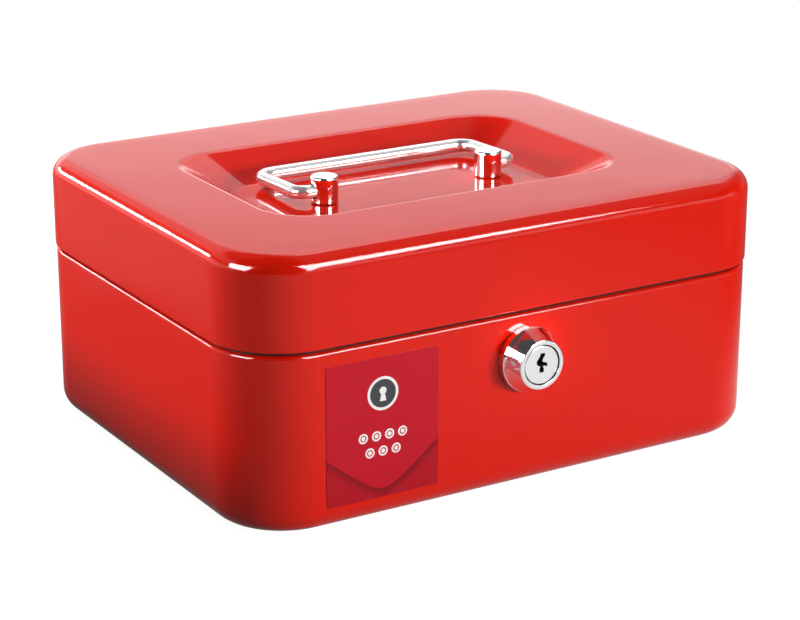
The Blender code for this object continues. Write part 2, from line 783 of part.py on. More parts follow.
def make_tray_ledge(name, side, parts):
    """Angle strip on a side wall of the base, on which the tray stands."""
    wall = BOX_HALF_X - BASE_INSET - SHEET - GAP
    top = TRAY_BOTTOM - GAP
    outline = [
        (side * wall, top),
        (side * wall, top - LEDGE_LEG),
        (side * (wall - SHEET), top - LEDGE_LEG),
        (side * (wall - SHEET), top - SHEET),
        (side * LEDGE_INNER_X, top - SHEET),
        (side * LEDGE_INNER_X, top),
    ]
    return extruded(name, outline, -LEDGE_HALF_LENGTH, LEDGE_HALF_LENGTH, "Y", parts)


def make_coin_tray(parts, tools):
    """Moulded tray: four coin wells behind, three note wells in front, and a notch for the lock."""
    tray = rounded_box(
        "coin_tray", TRAY_HALF_X, TRAY_HALF_Y, TRAY_BOTTOM, TRAY_TOP, TRAY_CORNER, parts, bottom_radius=4 * MM
    )
    inner_x = TRAY_HALF_X - TRAY_WALL
    inner_y = TRAY_HALF_Y - TRAY_WALL
    floor = TRAY_BOTTOM + TRAY_WALL
    hollow = rounded_box(
        "tool_tray_hollow", inner_x, inner_y, floor, 75 * MM, TRAY_CORNER - TRAY_WALL, tools, bottom_radius=3 * MM
    )
    cut(tray, hollow)
    root = floor - 0.8 * MM
    half = TRAY_WALL / 2
    reach_x = inner_x + 0.8 * MM
    reach_y = inner_y + 0.8 * MM
    walls = [((-reach_x, DIVIDER_Y - half), (reach_x, DIVIDER_Y + half))]
    for column in (-1, 0, 1):
        x = column * inner_x / 2
        walls.append(((x - half, DIVIDER_Y), (x + half, reach_y)))
    for x in (NOTCH_X0 - half, NOTCH_X1 + half):
        walls.append(((x - half, -reach_y), (x + half, DIVIDER_Y)))
    walls.append(((NOTCH_X0 - half, NOTCH_Y), (NOTCH_X1 + half, NOTCH_Y + TRAY_WALL)))
    for number, ((x0, y0), (x1, y1)) in enumerate(walls):
        join(tray, box_between(f"tool_divider_{number}", (x0, y0, root), (x1, y1, DIVIDER_TOP), tools))
    notch = box_between("tool_notch", (NOTCH_X0, -90 * MM, 30 * MM), (NOTCH_X1, NOTCH_Y, 75 * MM), tools)
    cut(tray, notch)
    return tray


def make_label(parts):
    """Thin printed label stuck on the front wall."""
    wall = -(BOX_HALF_Y - BASE_INSET)
    low = (LABEL_X0, wall - GAP - LABEL_THICK, LABEL_Z0)
    high = (LABEL_X1, wall - GAP, LABEL_Z1)
    return box_between("front_label", low, high, parts)


def hang_on_pivot(name, position, things, collection):
    """Parent a moving group to an empty on its joint axis, keeping every piece in place."""
    pivot = bpy.data.objects.new(name, None)
    pivot.empty_display_size = 0.01
    pivot.location = position
    collection.objects.link(pivot)
    for thing in things:
        thing.parent = pivot
        thing.location = thing.location - Vector(position)
    return pivot


def build():
    clear_scene()
    parts = make_collection("cash_box")
    tools = make_collection("cutters")
    tools.hide_render = True

    base_shell = make_base_shell(parts, tools)
    label = make_label(parts)
    ledges = [make_tray_ledge("tray_ledge_left", -1, parts), make_tray_ledge("tray_ledge_right", 1, parts)]
    base_leaves = []
    lid_leaves = []
    pins = []
    for word, x in (("left", -HINGE_X), ("right", HINGE_X)):
        base_leaves.append(make_base_leaf(f"hinge_base_leaf_{word}", x, parts, tools))
        lid_leaves.append(make_lid_leaf(f"hinge_lid_leaf_{word}", x, parts, tools))
        pins.append(make_hinge_pin(f"hinge_pin_{word}", x, parts))
    housing = make_lock_housing(parts)
    nut = make_lock_nut(parts, tools)

    lid_shell = make_lid_shell(parts, tools)
    posts = [make_post("handle_post_left", -1, parts, tools), make_post("handle_post_right", 1, parts, tools)]
    washers = [make_post_washer("post_washer_left", -1, parts), make_post_washer("post_washer_right", 1, parts)]
    catch = make_lid_catch(parts)
    bail = make_bail(parts)

    plug = make_lock_plug(parts, tools)
    wafers = [make_wafer(index + 1, parts, tools) for index in range(WAFER_COUNT)]
    cam = make_cam(parts, tools)
    screw = make_cam_screw(parts, tools)
    tray = make_coin_tray(parts, tools)

    finishes = (
        ("red_paint", (0.70, 0.021, 0.014), 0.12, 0.0, [base_shell, lid_shell]),
        ("label_print", (0.52, 0.013, 0.027), 0.35, 0.0, [label]),
        ("chrome", (0.83, 0.83, 0.84), 0.06, 1.0, [housing, bail, *posts]),
        ("plug_metal", (0.80, 0.80, 0.80), 0.16, 1.0, [plug]),
        ("zinc_steel", (0.55, 0.56, 0.58), 0.32, 1.0, [nut, cam, screw, catch, *washers, *pins]),
        ("hinge_steel", (0.50, 0.51, 0.53), 0.30, 1.0, [*base_leaves, *lid_leaves]),
        ("ledge_paint", (0.60, 0.020, 0.014), 0.25, 0.0, ledges),
        ("wafer_brass", (0.72, 0.52, 0.22), 0.28, 1.0, wafers),
        ("tray_plastic", (0.016, 0.016, 0.018), 0.45, 0.0, [tray]),
    )
    for name, colour, roughness, metallic, things in finishes:
        for thing in things:
            thing.data.materials.clear()
            thing.data.materials.append(make_material(f"{name}_{thing.name}", colour, roughness, metallic))

    hinge = (0.0, HINGE_Y, HINGE_Z)
    hang_on_pivot("lid_pivot", hinge, [lid_shell, catch, *lid_leaves, *posts, *washers], parts)
    hang_on_pivot("bail_pivot", (HANDLE_X, POST_Y, BAIL_PIVOT_Z), [bail], parts)
    hang_on_pivot("plug_pivot", (0.0, 0.0, LOCK_Z), [plug, cam, screw, *wafers], parts)
    hang_on_pivot("tray_lift", (0.0, 0.0, TRAY_BOTTOM), [tray], parts)


build()
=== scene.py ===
# Looks of a small red steel cash box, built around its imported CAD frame.
# The box stands on z = 0 with its lock facing -Y and its hinges at +Y.  All lengths are in metres.

import math

import bmesh
import bpy
from mathutils import Matrix, Vector


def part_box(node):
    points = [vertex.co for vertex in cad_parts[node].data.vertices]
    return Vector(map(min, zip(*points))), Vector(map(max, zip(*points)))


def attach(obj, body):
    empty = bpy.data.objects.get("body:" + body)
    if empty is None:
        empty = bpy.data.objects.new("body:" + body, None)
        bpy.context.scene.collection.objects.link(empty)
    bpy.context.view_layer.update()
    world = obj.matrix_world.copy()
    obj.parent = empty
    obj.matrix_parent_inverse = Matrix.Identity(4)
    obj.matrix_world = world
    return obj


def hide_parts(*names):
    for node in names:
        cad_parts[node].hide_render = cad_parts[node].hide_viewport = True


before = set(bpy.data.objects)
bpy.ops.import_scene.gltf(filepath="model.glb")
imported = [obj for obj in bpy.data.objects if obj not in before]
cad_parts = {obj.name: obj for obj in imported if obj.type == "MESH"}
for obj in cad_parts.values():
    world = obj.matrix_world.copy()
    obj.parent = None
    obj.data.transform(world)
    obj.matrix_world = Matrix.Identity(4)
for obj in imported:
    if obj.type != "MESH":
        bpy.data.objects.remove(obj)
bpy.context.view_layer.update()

MM = 0.001
SHARP_ABOVE = math.radians(35.0)

# Shells: the outer sizes come from the frame, the section radii are those of the drawn sheet
lid_low, lid_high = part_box("lid_shell")
base_low, base_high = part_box("base_shell")
HALF_X = lid_high.x
HALF_Y = lid_high.y
SEAM_Z = lid_low.z
TOP_Z = lid_high.z
SHEET = 1.0 * MM
CORNER = 25.0 * MM
LEAST_CORNER = 4.0 * MM
LID_TOP_RADIUS = 6.0 * MM
BASE_INSET = HALF_X - base_high.x
BASE_BOTTOM_RADIUS = 7.5 * MM
SHOULDER_TOP = 58.9 * MM
SHOULDER_RADIUS = 1.35 * MM
LIP_INSET = 1.8 * MM
LIP_TOP = base_high.z
CAP_INSET = 66.0 * MM  # where one flat face closes the panel's floor and the underside
CORNER_STEPS = 20
SIDE_STEPS = 10

# Sunk panel
PANEL_HALF_X = 67.5 * MM
PANEL_HALF_Y = 44.7 * MM
PANEL_CORNER = 19.0 * MM
PANEL_FLOOR_CORNER = 9.0 * MM
PANEL_DEPTH = 9.3 * MM
PANEL_RUN = 17.3 * MM
PANEL_SLOPE = math.radians(30.7)
MOUTH_RADIUS = 4.0 * MM
MOUTH_SETBACK = 0.3 * MM
FOOT_RADIUS = 2.0 * MM

# Handle; the rivet's rim and dome are (inset from its radius, height from its top or bottom) in mm
post_low, post_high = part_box("handle_post_right")
bail_low, bail_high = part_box("handle_bail")
HANDLE_X = (bail_low.x + bail_high.x) / 2
POST_X = (post_low.x + post_high.x) / 2 - HANDLE_X
POST_Y = (post_low.y + post_high.y) / 2
POST_RADIUS = (post_high.x - post_low.x) / 2
POST_HOLE_RADIUS = 2.65 * MM
POST_HOLE_DEPTH = 12.0 * MM
POST_HOLE_START = 1.0 * MM  # how far inside the bail's end the hole begins
TENON_RADIUS = 2.0 * MM
TENON_HEAD_RADIUS = 3.2 * MM
TENON_REACH = 1.7 * MM
RIVET_RIM = ((0.1, 0.0), (0.0, 0.2))
RIVET_DOME = ((0.5, 0.25), (1.4, 0.0))
BAIL_RADIUS = 2.3 * MM
BAIL_PIVOT_Z = 85.0 * MM
BAIL_BAR_Z = 84.1 * MM
BAIL_END_X = 32.0 * MM
BAIL_END_BEND = 4.0 * MM
BAIL_BAR_BEND = 6.0 * MM
BAIL_END_EDGE = 0.35 * MM
BAIL_SIDES = 32

# Lock; the keyway's outline is (x, z) in mm from the plug's axis
rose_low, rose_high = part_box("lock_housing")
LOCK_X = (rose_low.x + rose_high.x) / 2
LOCK_Z = (rose_low.z + rose_high.z) / 2
LOCK_RISE = -rose_low.y
ROSE_RADIUS = (rose_high.x - rose_low.x) / 2
ROSE_GAP = 0.3 * MM
FLANGE_HEIGHT = 2.3 * MM
FLANGE_EDGE = 0.5 * MM
CONE_INSET = 0.3 * MM
LOCK_FACE_RADIUS = 8.2 * MM
LOCK_BARREL_RADIUS = 7.5 * MM
LOCK_BORE_RADIUS = 6.65 * MM
PLUG_RADIUS = 6.3 * MM
KEYWAY_DEPTH = 19.0 * MM
KEYWAY_REACH = 4.4 * MM
KEYWAY_OUTLINE = (
    (-0.6, 3.9), (-0.8, 3.0), (-1.5, 2.1), (-2.1, 1.2), (-1.7, 0.1), (-0.6, -0.5), (-0.9, -1.1),
    (-0.9, -2.5), (0.7, -2.5), (0.8, -1.4), (0.4, -0.5), (1.2, -0.3), (1.6, -0.9), (2.2, -0.2),
    (1.7, 0.6), (0.9, 0.8), (0.2, 1.1), (0.3, 1.9), (1.1, 3.0), (1.1, 3.9),
)

# Label: film, printed flap, badge with a keyhole, and rows of coin dots as (height, count)
label_low, label_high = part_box("front_label")
LABEL_RADIUS = 0.8 * MM
FILM_THICK = 0.16 * MM
FILM_GAP = 0.02 * MM
FILM_EDGE = 0.05 * MM
INK_THICK = 0.03 * MM
LABEL_BACK = base_low.y - FILM_GAP
LABEL_FACE = LABEL_BACK - FILM_THICK
FLAP_LOW = 10.8 * MM
FLAP_SLOPE = 0.82
FLAP_ROUND = 5.0 * MM
FLAP_EDGE = 0.05 * MM
FLAP_SHADOW = 4.0 * MM
FLAP_SHADE = 0.52
BADGE_X = (label_low.x + label_high.x) / 2
BADGE_Z = 42.1 * MM
BADGE_RADIUS = 5.5 * MM
BADGE_RING_INSIDE = 4.6 * MM
BADGE_GROUND_RADIUS = 4.55 * MM
BOW_RADIUS = 1.25 * MM
BOW_RISE = 0.9 * MM
BOW_START = -58
BOW_END = 238
SKIRT_HALF = 1.15 * MM
SKIRT_DROP = 2.5 * MM
DOT_ROWS = ((28.4 * MM, 4), (23.2 * MM, 3))
DOT_PITCH = 4.7 * MM
DOT_RADIUS = 1.65 * MM
DOT_RING_INSIDE = 1.1 * MM
DOT_CENTRE_RADIUS = 0.7 * MM

# Small hardware
PIN_SHANK_RADIUS = 1.1 * MM
WASHER_CLEARANCE = 0.3 * MM
WASHER_EDGE = 0.15 * MM
FLAT_WITHIN = math.radians(1.0)
BEVEL_ABOVE = math.radians(40)

# Sockets of Blender's mix node when it mixes colours
MIX_FACTOR, MIX_FIRST, MIX_SECOND, MIX_RESULT = 0, 6, 7, 2


# ---------------------------------------------------------------- mesh helpers


def mesh_object(name, shape):
    """Link a bmesh as an object, smooth except at its sharp edges."""
    bmesh.ops.recalc_face_normals(shape, faces=shape.faces)
    for face in shape.faces:
        face.smooth = True
    for edge in shape.edges:
        edge.smooth = edge.is_manifold and edge.calc_face_angle() < SHARP_ABOVE
    mesh = bpy.data.meshes.new(name)
    shape.to_mesh(mesh)
    shape.free()
    thing = bpy.data.objects.new(name, mesh)
    bpy.context.scene.collection.objects.link(thing)
    return thing


def skin(name, rings, closed=False):
    """A solid through rings of equal length, capped at both ends unless the rings close up."""
    shape = bmesh.new()
    rows = [[shape.verts.new(point) for point in ring] for ring in rings]
    pairs = list(zip(rows, rows[1:]))
    if closed:
        pairs.append((rows[-1], rows[0]))
    for lower, upper in pairs:
        for index in range(len(lower)):
            following = (index + 1) % len(lower)
            shape.faces.new((lower[index], lower[following], upper[following], upper[index]))
    if not closed:
        shape.faces.new(rows[0])
        shape.faces.new(rows[-1])
    return mesh_object(name, shape)


def soften(thing):
    """Let large faces rule the shading, so that flats stay flat beside their rounded edges."""
    modifier = thing.modifiers.new("normals", "WEIGHTED_NORMAL")
    modifier.keep_sharp = True
    modifier.weight = 50


def settle(thing):
    """Replace an object by its finished shape, with its modifiers applied."""
    bpy.context.view_layer.update()
    evaluated = thing.evaluated_get(bpy.context.evaluated_depsgraph_get())
    shape = bmesh.new()
    shape.from_mesh(evaluated.to_mesh())
    evaluated.to_mesh_clear()
    bmesh.ops.transform(shape, matrix=thing.matrix_world, verts=shape.verts)
    bmesh.ops.remove_doubles(shape, verts=shape.verts, dist=1e-6)
    name = thing.name
    bpy.data.objects.remove(thing)
    return mesh_object(name, shape)


def carve(thing, cutter):
    """Cut one solid out of another and drop the cutter."""
    modifier = thing.modifiers.new("cut", "BOOLEAN")
    modifier.operation = "DIFFERENCE"
    modifier.solver = "EXACT"
    modifier.object = cutter
    result = settle(thing)
    bpy.data.objects.remove(cutter)
    return result


def arc(centre, radius, start, end, steps):
    """Points of a circular arc, by angle in degrees."""
    points = []
    for step in range(steps + 1):
        angle = math.radians(start + (end - start) * step / steps)
        points.append((centre[0] + radius * math.cos(angle), centre[1] + radius * math.sin(angle)))
    return points


def circle(x, z, radius, steps=48):
    """Points of a whole circle, the first one not repeated."""
    return arc((x, z), radius, 0, 360 - 360 / steps, steps - 1)


def line(start, end, steps):
    """Points between two ends, without the ends."""
    return [
        tuple(a + (b - a) * step / steps for a, b in zip(start, end))
        for step in range(1, steps)
    ]


def turned(name, profile, origin, direction, steps, closed=False):
    """A turned solid from (radius, distance along the axis) points, capped at both ends."""
    aim = Vector(direction).to_track_quat("Z", "Y").to_matrix().to_4x4()
    place = Matrix.Translation(origin) @ aim
    rings = []
    for radius, distance in profile:
        ring = []
        for step in range(steps):
            angle = math.tau * step / steps
            ring.append(place @ Vector((radius * math.cos(angle), radius * math.sin(angle), distance)))
        rings.append(ring)
    return skin(name, rings, closed)


def rounded_ring(half_x, half_y, corner, level):
    """The points of a rounded rectangle at one height, with the straight sides divided as well."""
    arcs = []
    for sign_x, sign_y, start in ((1, 1, 0), (-1, 1, 90), (-1, -1, 180), (1, -1, 270)):
        centre = (sign_x * (half_x - corner), sign_y * (half_y - corner))
        arcs.append(arc(centre, corner, start, start + 90, CORNER_STEPS))
    points = []
    for index, bend in enumerate(arcs):
        points += bend
        points += line(bend[-1], arcs[(index + 1) % 4][0], SIDE_STEPS)
    return [(x, y, level) for x, y in points]


# ---------------------------------------------------------------- shells


def lid_outline(inset):
    """Half sizes and corner radius of the lid's level line at an inset from its side wall."""
    mouth = HALF_X - PANEL_HALF_X
    if inset <= LID_TOP_RADIUS:
        return HALF_X - inset, HALF_Y - inset, CORNER - inset
    if inset <= mouth:
        share = (inset - LID_TOP_RADIUS) / (mouth - LID_TOP_RADIUS)
        edge = (HALF_X - LID_TOP_RADIUS, HALF_Y - LID_TOP_RADIUS, CORNER - LID_TOP_RADIUS)
        inner = (PANEL_HALF_X, PANEL_HALF_Y, PANEL_CORNER)
        return tuple(a + (b - a) * share for a, b in zip(edge, inner))
    run = inset - mouth
    share = min(run / PANEL_RUN, 1.0)
    corner = PANEL_CORNER + (PANEL_FLOOR_CORNER - PANEL_CORNER) * share
    return PANEL_HALF_X - run, PANEL_HALF_Y - run, corner


def lid_section(depth):
    """Section of the lid at a depth inside its outer face: (inset, z), wall's foot to panel floor."""
    mouth_start = HALF_X - PANEL_HALF_X - MOUTH_SETBACK
    mouth_centre = (mouth_start, TOP_Z - MOUTH_RADIUS)
    lean = math.degrees(PANEL_SLOPE)
    rise = PANEL_DEPTH - (MOUTH_RADIUS + FOOT_RADIUS) * (1 - math.cos(PANEL_SLOPE))
    run = rise / math.tan(PANEL_SLOPE)
    foot = mouth_start + (MOUTH_RADIUS + FOOT_RADIUS) * math.sin(PANEL_SLOPE) + run
    foot_centre = (foot, TOP_Z - PANEL_DEPTH + FOOT_RADIUS)
    top_centre = (LID_TOP_RADIUS, TOP_Z - LID_TOP_RADIUS)
    wall = (depth, SEAM_Z + SHEET / 2)
    top_arc = arc(top_centre, LID_TOP_RADIUS - depth, 180, 90, steps=10)
    mouth_arc = arc(mouth_centre, MOUTH_RADIUS - depth, 90, 90 - lean, steps=8)
    foot_arc = arc(foot_centre, FOOT_RADIUS + depth, 270 - lean, 270, steps=8)
    middle = (CAP_INSET, TOP_Z - PANEL_DEPTH - depth)
    points = [wall]
    points += line(wall, top_arc[0], steps=6)
    points += top_arc
    points += line(top_arc[-1], mouth_arc[0], steps=5)
    points += mouth_arc
    points += line(mouth_arc[-1], foot_arc[0], steps=4)
    points += foot_arc
    points += line(foot_arc[-1], middle, steps=3)
    points.append(middle)
    return points


def base_outline(inset):
    """Half sizes and corner radius of the base's level line at an inset from the lid's wall."""
    return HALF_X - inset, HALF_Y - inset, max(CORNER - inset, LEAST_CORNER)


def base_section(depth):
    """Section of the base at a depth inside its outer face: (inset, z), bottom to lip."""
    bottom_centre = (BASE_INSET + BASE_BOTTOM_RADIUS, BASE_BOTTOM_RADIUS)
    shoulder_centre = (BASE_INSET + SHOULDER_RADIUS, SHOULDER_TOP - SHOULDER_RADIUS)
    bottom_arc = arc(bottom_centre, BASE_BOTTOM_RADIUS - depth, 270, 180, steps=10)
    shoulder_arc = arc(shoulder_centre, SHOULDER_RADIUS - depth, 180, 90, steps=8)
    middle = (CAP_INSET, depth)
    root = (LIP_INSET + depth, SHOULDER_TOP - depth)
    lip = (LIP_INSET + depth, LIP_TOP - SHEET / 2)
    points = [middle]
    points += line(middle, bottom_arc[0], steps=4)
    points += bottom_arc
    points += line(bottom_arc[-1], shoulder_arc[0], steps=10)
    points += shoulder_arc
    points += [root]
    points += line(root, lip, steps=3)
    points.append(lip)
    return points


def make_lid_skin():
    """The lid's sheet: inner face, rolled hem at the seam, outer face."""
    hem = arc((SHEET / 2, SEAM_Z + SHEET / 2), SHEET / 2, 360, 180, steps=6)
    section = list(reversed(lid_section(SHEET))) + hem[1:-1] + lid_section(0.0)
    rings = [rounded_ring(*lid_outline(inset), level) for inset, level in section]
    thing = skin("lid_skin", rings)
    soften(thing)
    return thing


def make_base_skin():
    """The base's sheet: outer face, rolled lip, inner face; the lip's faces in the gap below the lid are
    material 1, a near-black painted shade.
    """
    hem = arc((LIP_INSET + SHEET / 2, LIP_TOP - SHEET / 2), SHEET / 2, 180, 0, steps=6)
    section = base_section(0.0) + hem[1:-1] + list(reversed(base_section(SHEET)))
    rings = [rounded_ring(*base_outline(inset), level) for inset, level in section]
    thing = skin("base_skin", rings)
    soften(thing)
    # Outward faces of the lip between the shoulder and the lid's edge get the painted shade of the seam
    # gap
    gap_top = SEAM_Z + MM
    upright = 0.3
    for polygon in thing.data.polygons:
        centre, normal = polygon.center, polygon.normal
        outward = normal.x * centre.x + normal.y * centre.y > 0.0
        if outward and normal.z < upright and SHOULDER_TOP < centre.z < gap_top:
            polygon.material_index = 1
    return thing


# ---------------------------------------------------------------- lock


def make_rose():
    """The lock's fixed cylinder: thin flange, cone, flat front ring and barrel."""
    low = -rose_high.y
    back = HALF_Y - BASE_INSET + ROSE_GAP
    ring_edge = 0.55 * MM
    bore_edge = 0.2 * MM
    bore_bevel = 0.06 * MM
    mouth = LOCK_BORE_RADIUS + bore_edge
    ring_end = LOCK_FACE_RADIUS - ring_edge
    profile = [(LOCK_BORE_RADIUS, low), (LOCK_BORE_RADIUS, LOCK_RISE - bore_edge)]
    profile += [(LOCK_BORE_RADIUS + bore_bevel, LOCK_RISE - bore_bevel), (mouth, LOCK_RISE)]
    profile += line((mouth, LOCK_RISE), (ring_end, LOCK_RISE), steps=3)
    profile += arc((ring_end, LOCK_RISE - ring_edge), ring_edge, 90, 13, steps=6)
    cone_foot = (ROSE_RADIUS - CONE_INSET, back + FLANGE_HEIGHT + FLANGE_EDGE)
    flange_centre = (ROSE_RADIUS - FLANGE_EDGE, back + FLANGE_HEIGHT)
    profile += line(profile[-1], cone_foot, steps=6)
    profile += arc(flange_centre, FLANGE_EDGE, 60, 0, steps=5)
    profile += [(ROSE_RADIUS, back), (LOCK_BARREL_RADIUS, back), (LOCK_BARREL_RADIUS, low)]
    thing = turned("lock_rose", profile, (LOCK_X, 0.0, LOCK_Z), (0, -1, 0), 96, closed=True)
    soften(thing)
    return thing


def cut_keyway(plug, face):
    """Cut the keyway into the plug from its front face."""
    overshoot = 2 * MM
    corners = []
    for level in (-face - overshoot, -face + KEYWAY_DEPTH):
        corners.append([(LOCK_X + x * MM, level, LOCK_Z + z * MM) for x, z in KEYWAY_OUTLINE])
    return carve(plug, skin("keyway_cutter", corners))


def blacken_keyway(plug, face):
    """Second material, a near-black painted shade, for the walls and the end of the keyway."""
    margin = 0.1 * MM
    for polygon in plug.data.polygons:
        centre = polygon.center
        out = Vector((centre.x - LOCK_X, centre.z - LOCK_Z)).length
        behind = centre.y + face > margin
        if behind and out < KEYWAY_REACH and centre.y < KEYWAY_DEPTH - face + margin:
            polygon.material_index = 1


def make_plug():
    """The plug's face is a little below the rose's front ring, and its keyway runs deep."""
    low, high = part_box("lock_plug")
    face = -low.y
    stub = 2.3 * MM
    body_end = -high.y + stub
    chamfer = 0.3 * MM
    inmost = 0.2 * MM
    middle = 2.0 * MM
    rim = PLUG_RADIUS - chamfer
    profile = [(inmost, face), (middle, face), (rim, face)]
    profile += arc((rim, face - chamfer), chamfer, 90, 0, steps=4)[1:]
    profile += [(PLUG_RADIUS, body_end), (inmost, body_end)]
    plug = turned("plug_core", profile, (LOCK_X, 0.0, LOCK_Z), (0, -1, 0), 96)
    plug = cut_keyway(plug, face)
    soften(plug)
    blacken_keyway(plug, face)
    return plug


# ---------------------------------------------------------------- handle


def make_post(name, side):
    """A turned post with a gently domed top, cross-bored for the bail's end and riveted below."""
    low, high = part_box("handle_post_left" if side < 0 else "handle_post_right")
    floor = TOP_Z - PANEL_DEPTH
    inmost = 0.1 * MM
    edge = 0.9 * MM
    dome = 0.25 * MM
    dome_steps = 6
    foot = floor + 0.3 * MM
    foot_edge = 0.25 * MM
    head_top = floor - SHEET - TENON_REACH
    crown = POST_RADIUS - edge
    profile = [(inmost, high.z)]
    for step in range(1, dome_steps + 1):
        share = step / dome_steps
        profile.append((crown * share, high.z - dome * share**2))
    profile += arc((crown, high.z - dome - edge), edge, 90, 0, steps=6)[1:]
    profile += [(POST_RADIUS, foot + foot_edge), (POST_RADIUS - foot_edge, foot)]
    profile += [(TENON_RADIUS, foot), (TENON_RADIUS, head_top)]
    profile += [(TENON_HEAD_RADIUS - inset * MM, head_top - drop * MM) for inset, drop in RIVET_RIM]
    profile += [(TENON_HEAD_RADIUS - inset * MM, low.z + rise * MM) for inset, rise in RIVET_DOME]
    profile.append((inmost, low.z))
    post = turned(name, profile, (HANDLE_X + side * POST_X, POST_Y, 0.0), (0, 0, 1), 64)
    start = (HANDLE_X + side * (BAIL_END_X - POST_HOLE_START), POST_Y, BAIL_PIVOT_Z)
    bore = [(POST_HOLE_RADIUS, 0.0), (POST_HOLE_RADIUS, POST_HOLE_DEPTH)]
    post = carve(post, turned(f"{name}_cutter", bore, start, (side, 0, 0), 48))
    soften(post)
    return post


def rounded_path(corners, radii, steps):
    """A polyline through corners, each inner corner replaced by an arc."""
    points = [Vector(corners[0])]
    for before, corner, after, radius in zip(corners, corners[1:], corners[2:], radii):
        before, corner, after = Vector(before), Vector(corner), Vector(after)
        incoming = (before - corner).normalized()
        outgoing = (after - corner).normalized()
        half_angle = incoming.angle(outgoing) / 2
        centre = corner + (incoming + outgoing).normalized() * (radius / math.sin(half_angle))
        setback = radius / math.tan(half_angle)
        start = corner + incoming * setback - centre
        end = corner + outgoing * setback - centre
        sweep = start.angle(end)
        for step in range(steps + 1):
            share = step / steps
            arm = start * math.sin((1 - share) * sweep) + end * math.sin(share * sweep)
            points.append(centre + arm / math.sin(sweep))
    points.append(Vector(corners[-1]))
    return points


def wire_ring(centre, first, second, radius):
    """A ring of points around a wire's centre line, in the plane of two unit vectors."""
    turns = [math.tau * step / BAIL_SIDES for step in range(BAIL_SIDES)]
    return [centre + radius * (math.cos(turn) * first + math.sin(turn) * second) for turn in turns]


def make_bail():
    """One round wire with turned-in ends, whose end edges are chamfered."""
    half_x = bail_high.x - HANDLE_X - BAIL_RADIUS
    bar_y = bail_high.y - BAIL_RADIUS
    corners = [
        (HANDLE_X - BAIL_END_X, POST_Y, BAIL_PIVOT_Z),
        (HANDLE_X - half_x, POST_Y, BAIL_PIVOT_Z),
        (HANDLE_X - half_x, bar_y, BAIL_BAR_Z),
        (HANDLE_X + half_x, bar_y, BAIL_BAR_Z),
        (HANDLE_X + half_x, POST_Y, BAIL_PIVOT_Z),
        (HANDLE_X + BAIL_END_X, POST_Y, BAIL_PIVOT_Z),
    ]
    bends = [BAIL_END_BEND, BAIL_BAR_BEND, BAIL_BAR_BEND, BAIL_END_BEND]
    path = rounded_path(corners, bends, steps=16)
    arm = Vector((0.0, bar_y - POST_Y, BAIL_BAR_Z - BAIL_PIVOT_Z)).normalized()
    across = Vector((1.0, 0.0, 0.0)).cross(arm)
    end_radius = BAIL_RADIUS - BAIL_END_EDGE
    last = len(path) - 1
    rings = []
    for index, point in enumerate(path):
        forward = (path[min(index + 1, last)] - path[max(index - 1, 0)]).normalized()
        beside = across.cross(forward)
        if index == 0:
            rings.append(wire_ring(point, beside, across, end_radius))
            point = point + forward * BAIL_END_EDGE
        elif index == last:
            rings.append(wire_ring(point - forward * BAIL_END_EDGE, beside, across, BAIL_RADIUS))
        radius = end_radius if index == last else BAIL_RADIUS
        rings.append(wire_ring(point, beside, across, radius))
    bail = skin("bail_wire", rings)
    soften(bail)
    return bail


# ---------------------------------------------------------------- label


def make_label():
    """Self-adhesive film with rounded corners, lying on the wall."""
    centre_x = (label_low.x + label_high.x) / 2
    centre_z = (label_low.z + label_high.z) / 2
    half_x = (label_high.x - label_low.x) / 2
    half_z = (label_high.z - label_low.z) / 2
    rings = []
    for level, inset in ((LABEL_BACK, 0.0), (LABEL_FACE + FILM_EDGE, 0.0), (LABEL_FACE, FILM_EDGE)):
        ring = []
        for sign_x, sign_z, start in ((1, 1, 0), (-1, 1, 90), (-1, -1, 180), (1, -1, 270)):
            x = centre_x + sign_x * (half_x - LABEL_RADIUS)
            z = centre_z + sign_z * (half_z - LABEL_RADIUS)
            bend = arc((x, z), LABEL_RADIUS - inset, start, start + 90, steps=8)
            ring += [(x, level, z) for x, z in bend]
        rings.append(ring)
    return skin("label_film", rings)


def ink_shape(shape, outline, height, slot, hole=None):
    """Add a thin closed slab of ink to a bmesh, with an optional round hole of equal point count."""
    top = LABEL_FACE - height
    base = LABEL_FACE + INK_THICK
    outer_low = [shape.verts.new((x, base, z)) for x, z in outline]
    outer_high = [shape.verts.new((x, top, z)) for x, z in outline]
    strips = [(outer_low, outer_high)]
    caps = []
    if hole is None:
        caps = [outer_high, outer_low]
    else:
        inner_low = [shape.verts.new((x, base, z)) for x, z in hole]
        inner_high = [shape.verts.new((x, top, z)) for x, z in hole]
        strips += [(inner_high, inner_low), (outer_high, inner_high), (inner_low, outer_low)]
    faces = []
    for first, second in strips:
        for index in range(len(outline)):
            following = (index + 1) % len(outline)
            faces.append((first[index], first[following], second[following], second[index]))
    for corners in faces + caps:
        shape.faces.new(corners).material_index = slot


def ink_ring(shape, x, z, outside, inside, steps):
    """Add a round ring of white ink to a bmesh."""
    ink_shape(shape, circle(x, z, outside, steps), INK_THICK, 0, circle(x, z, inside, steps))


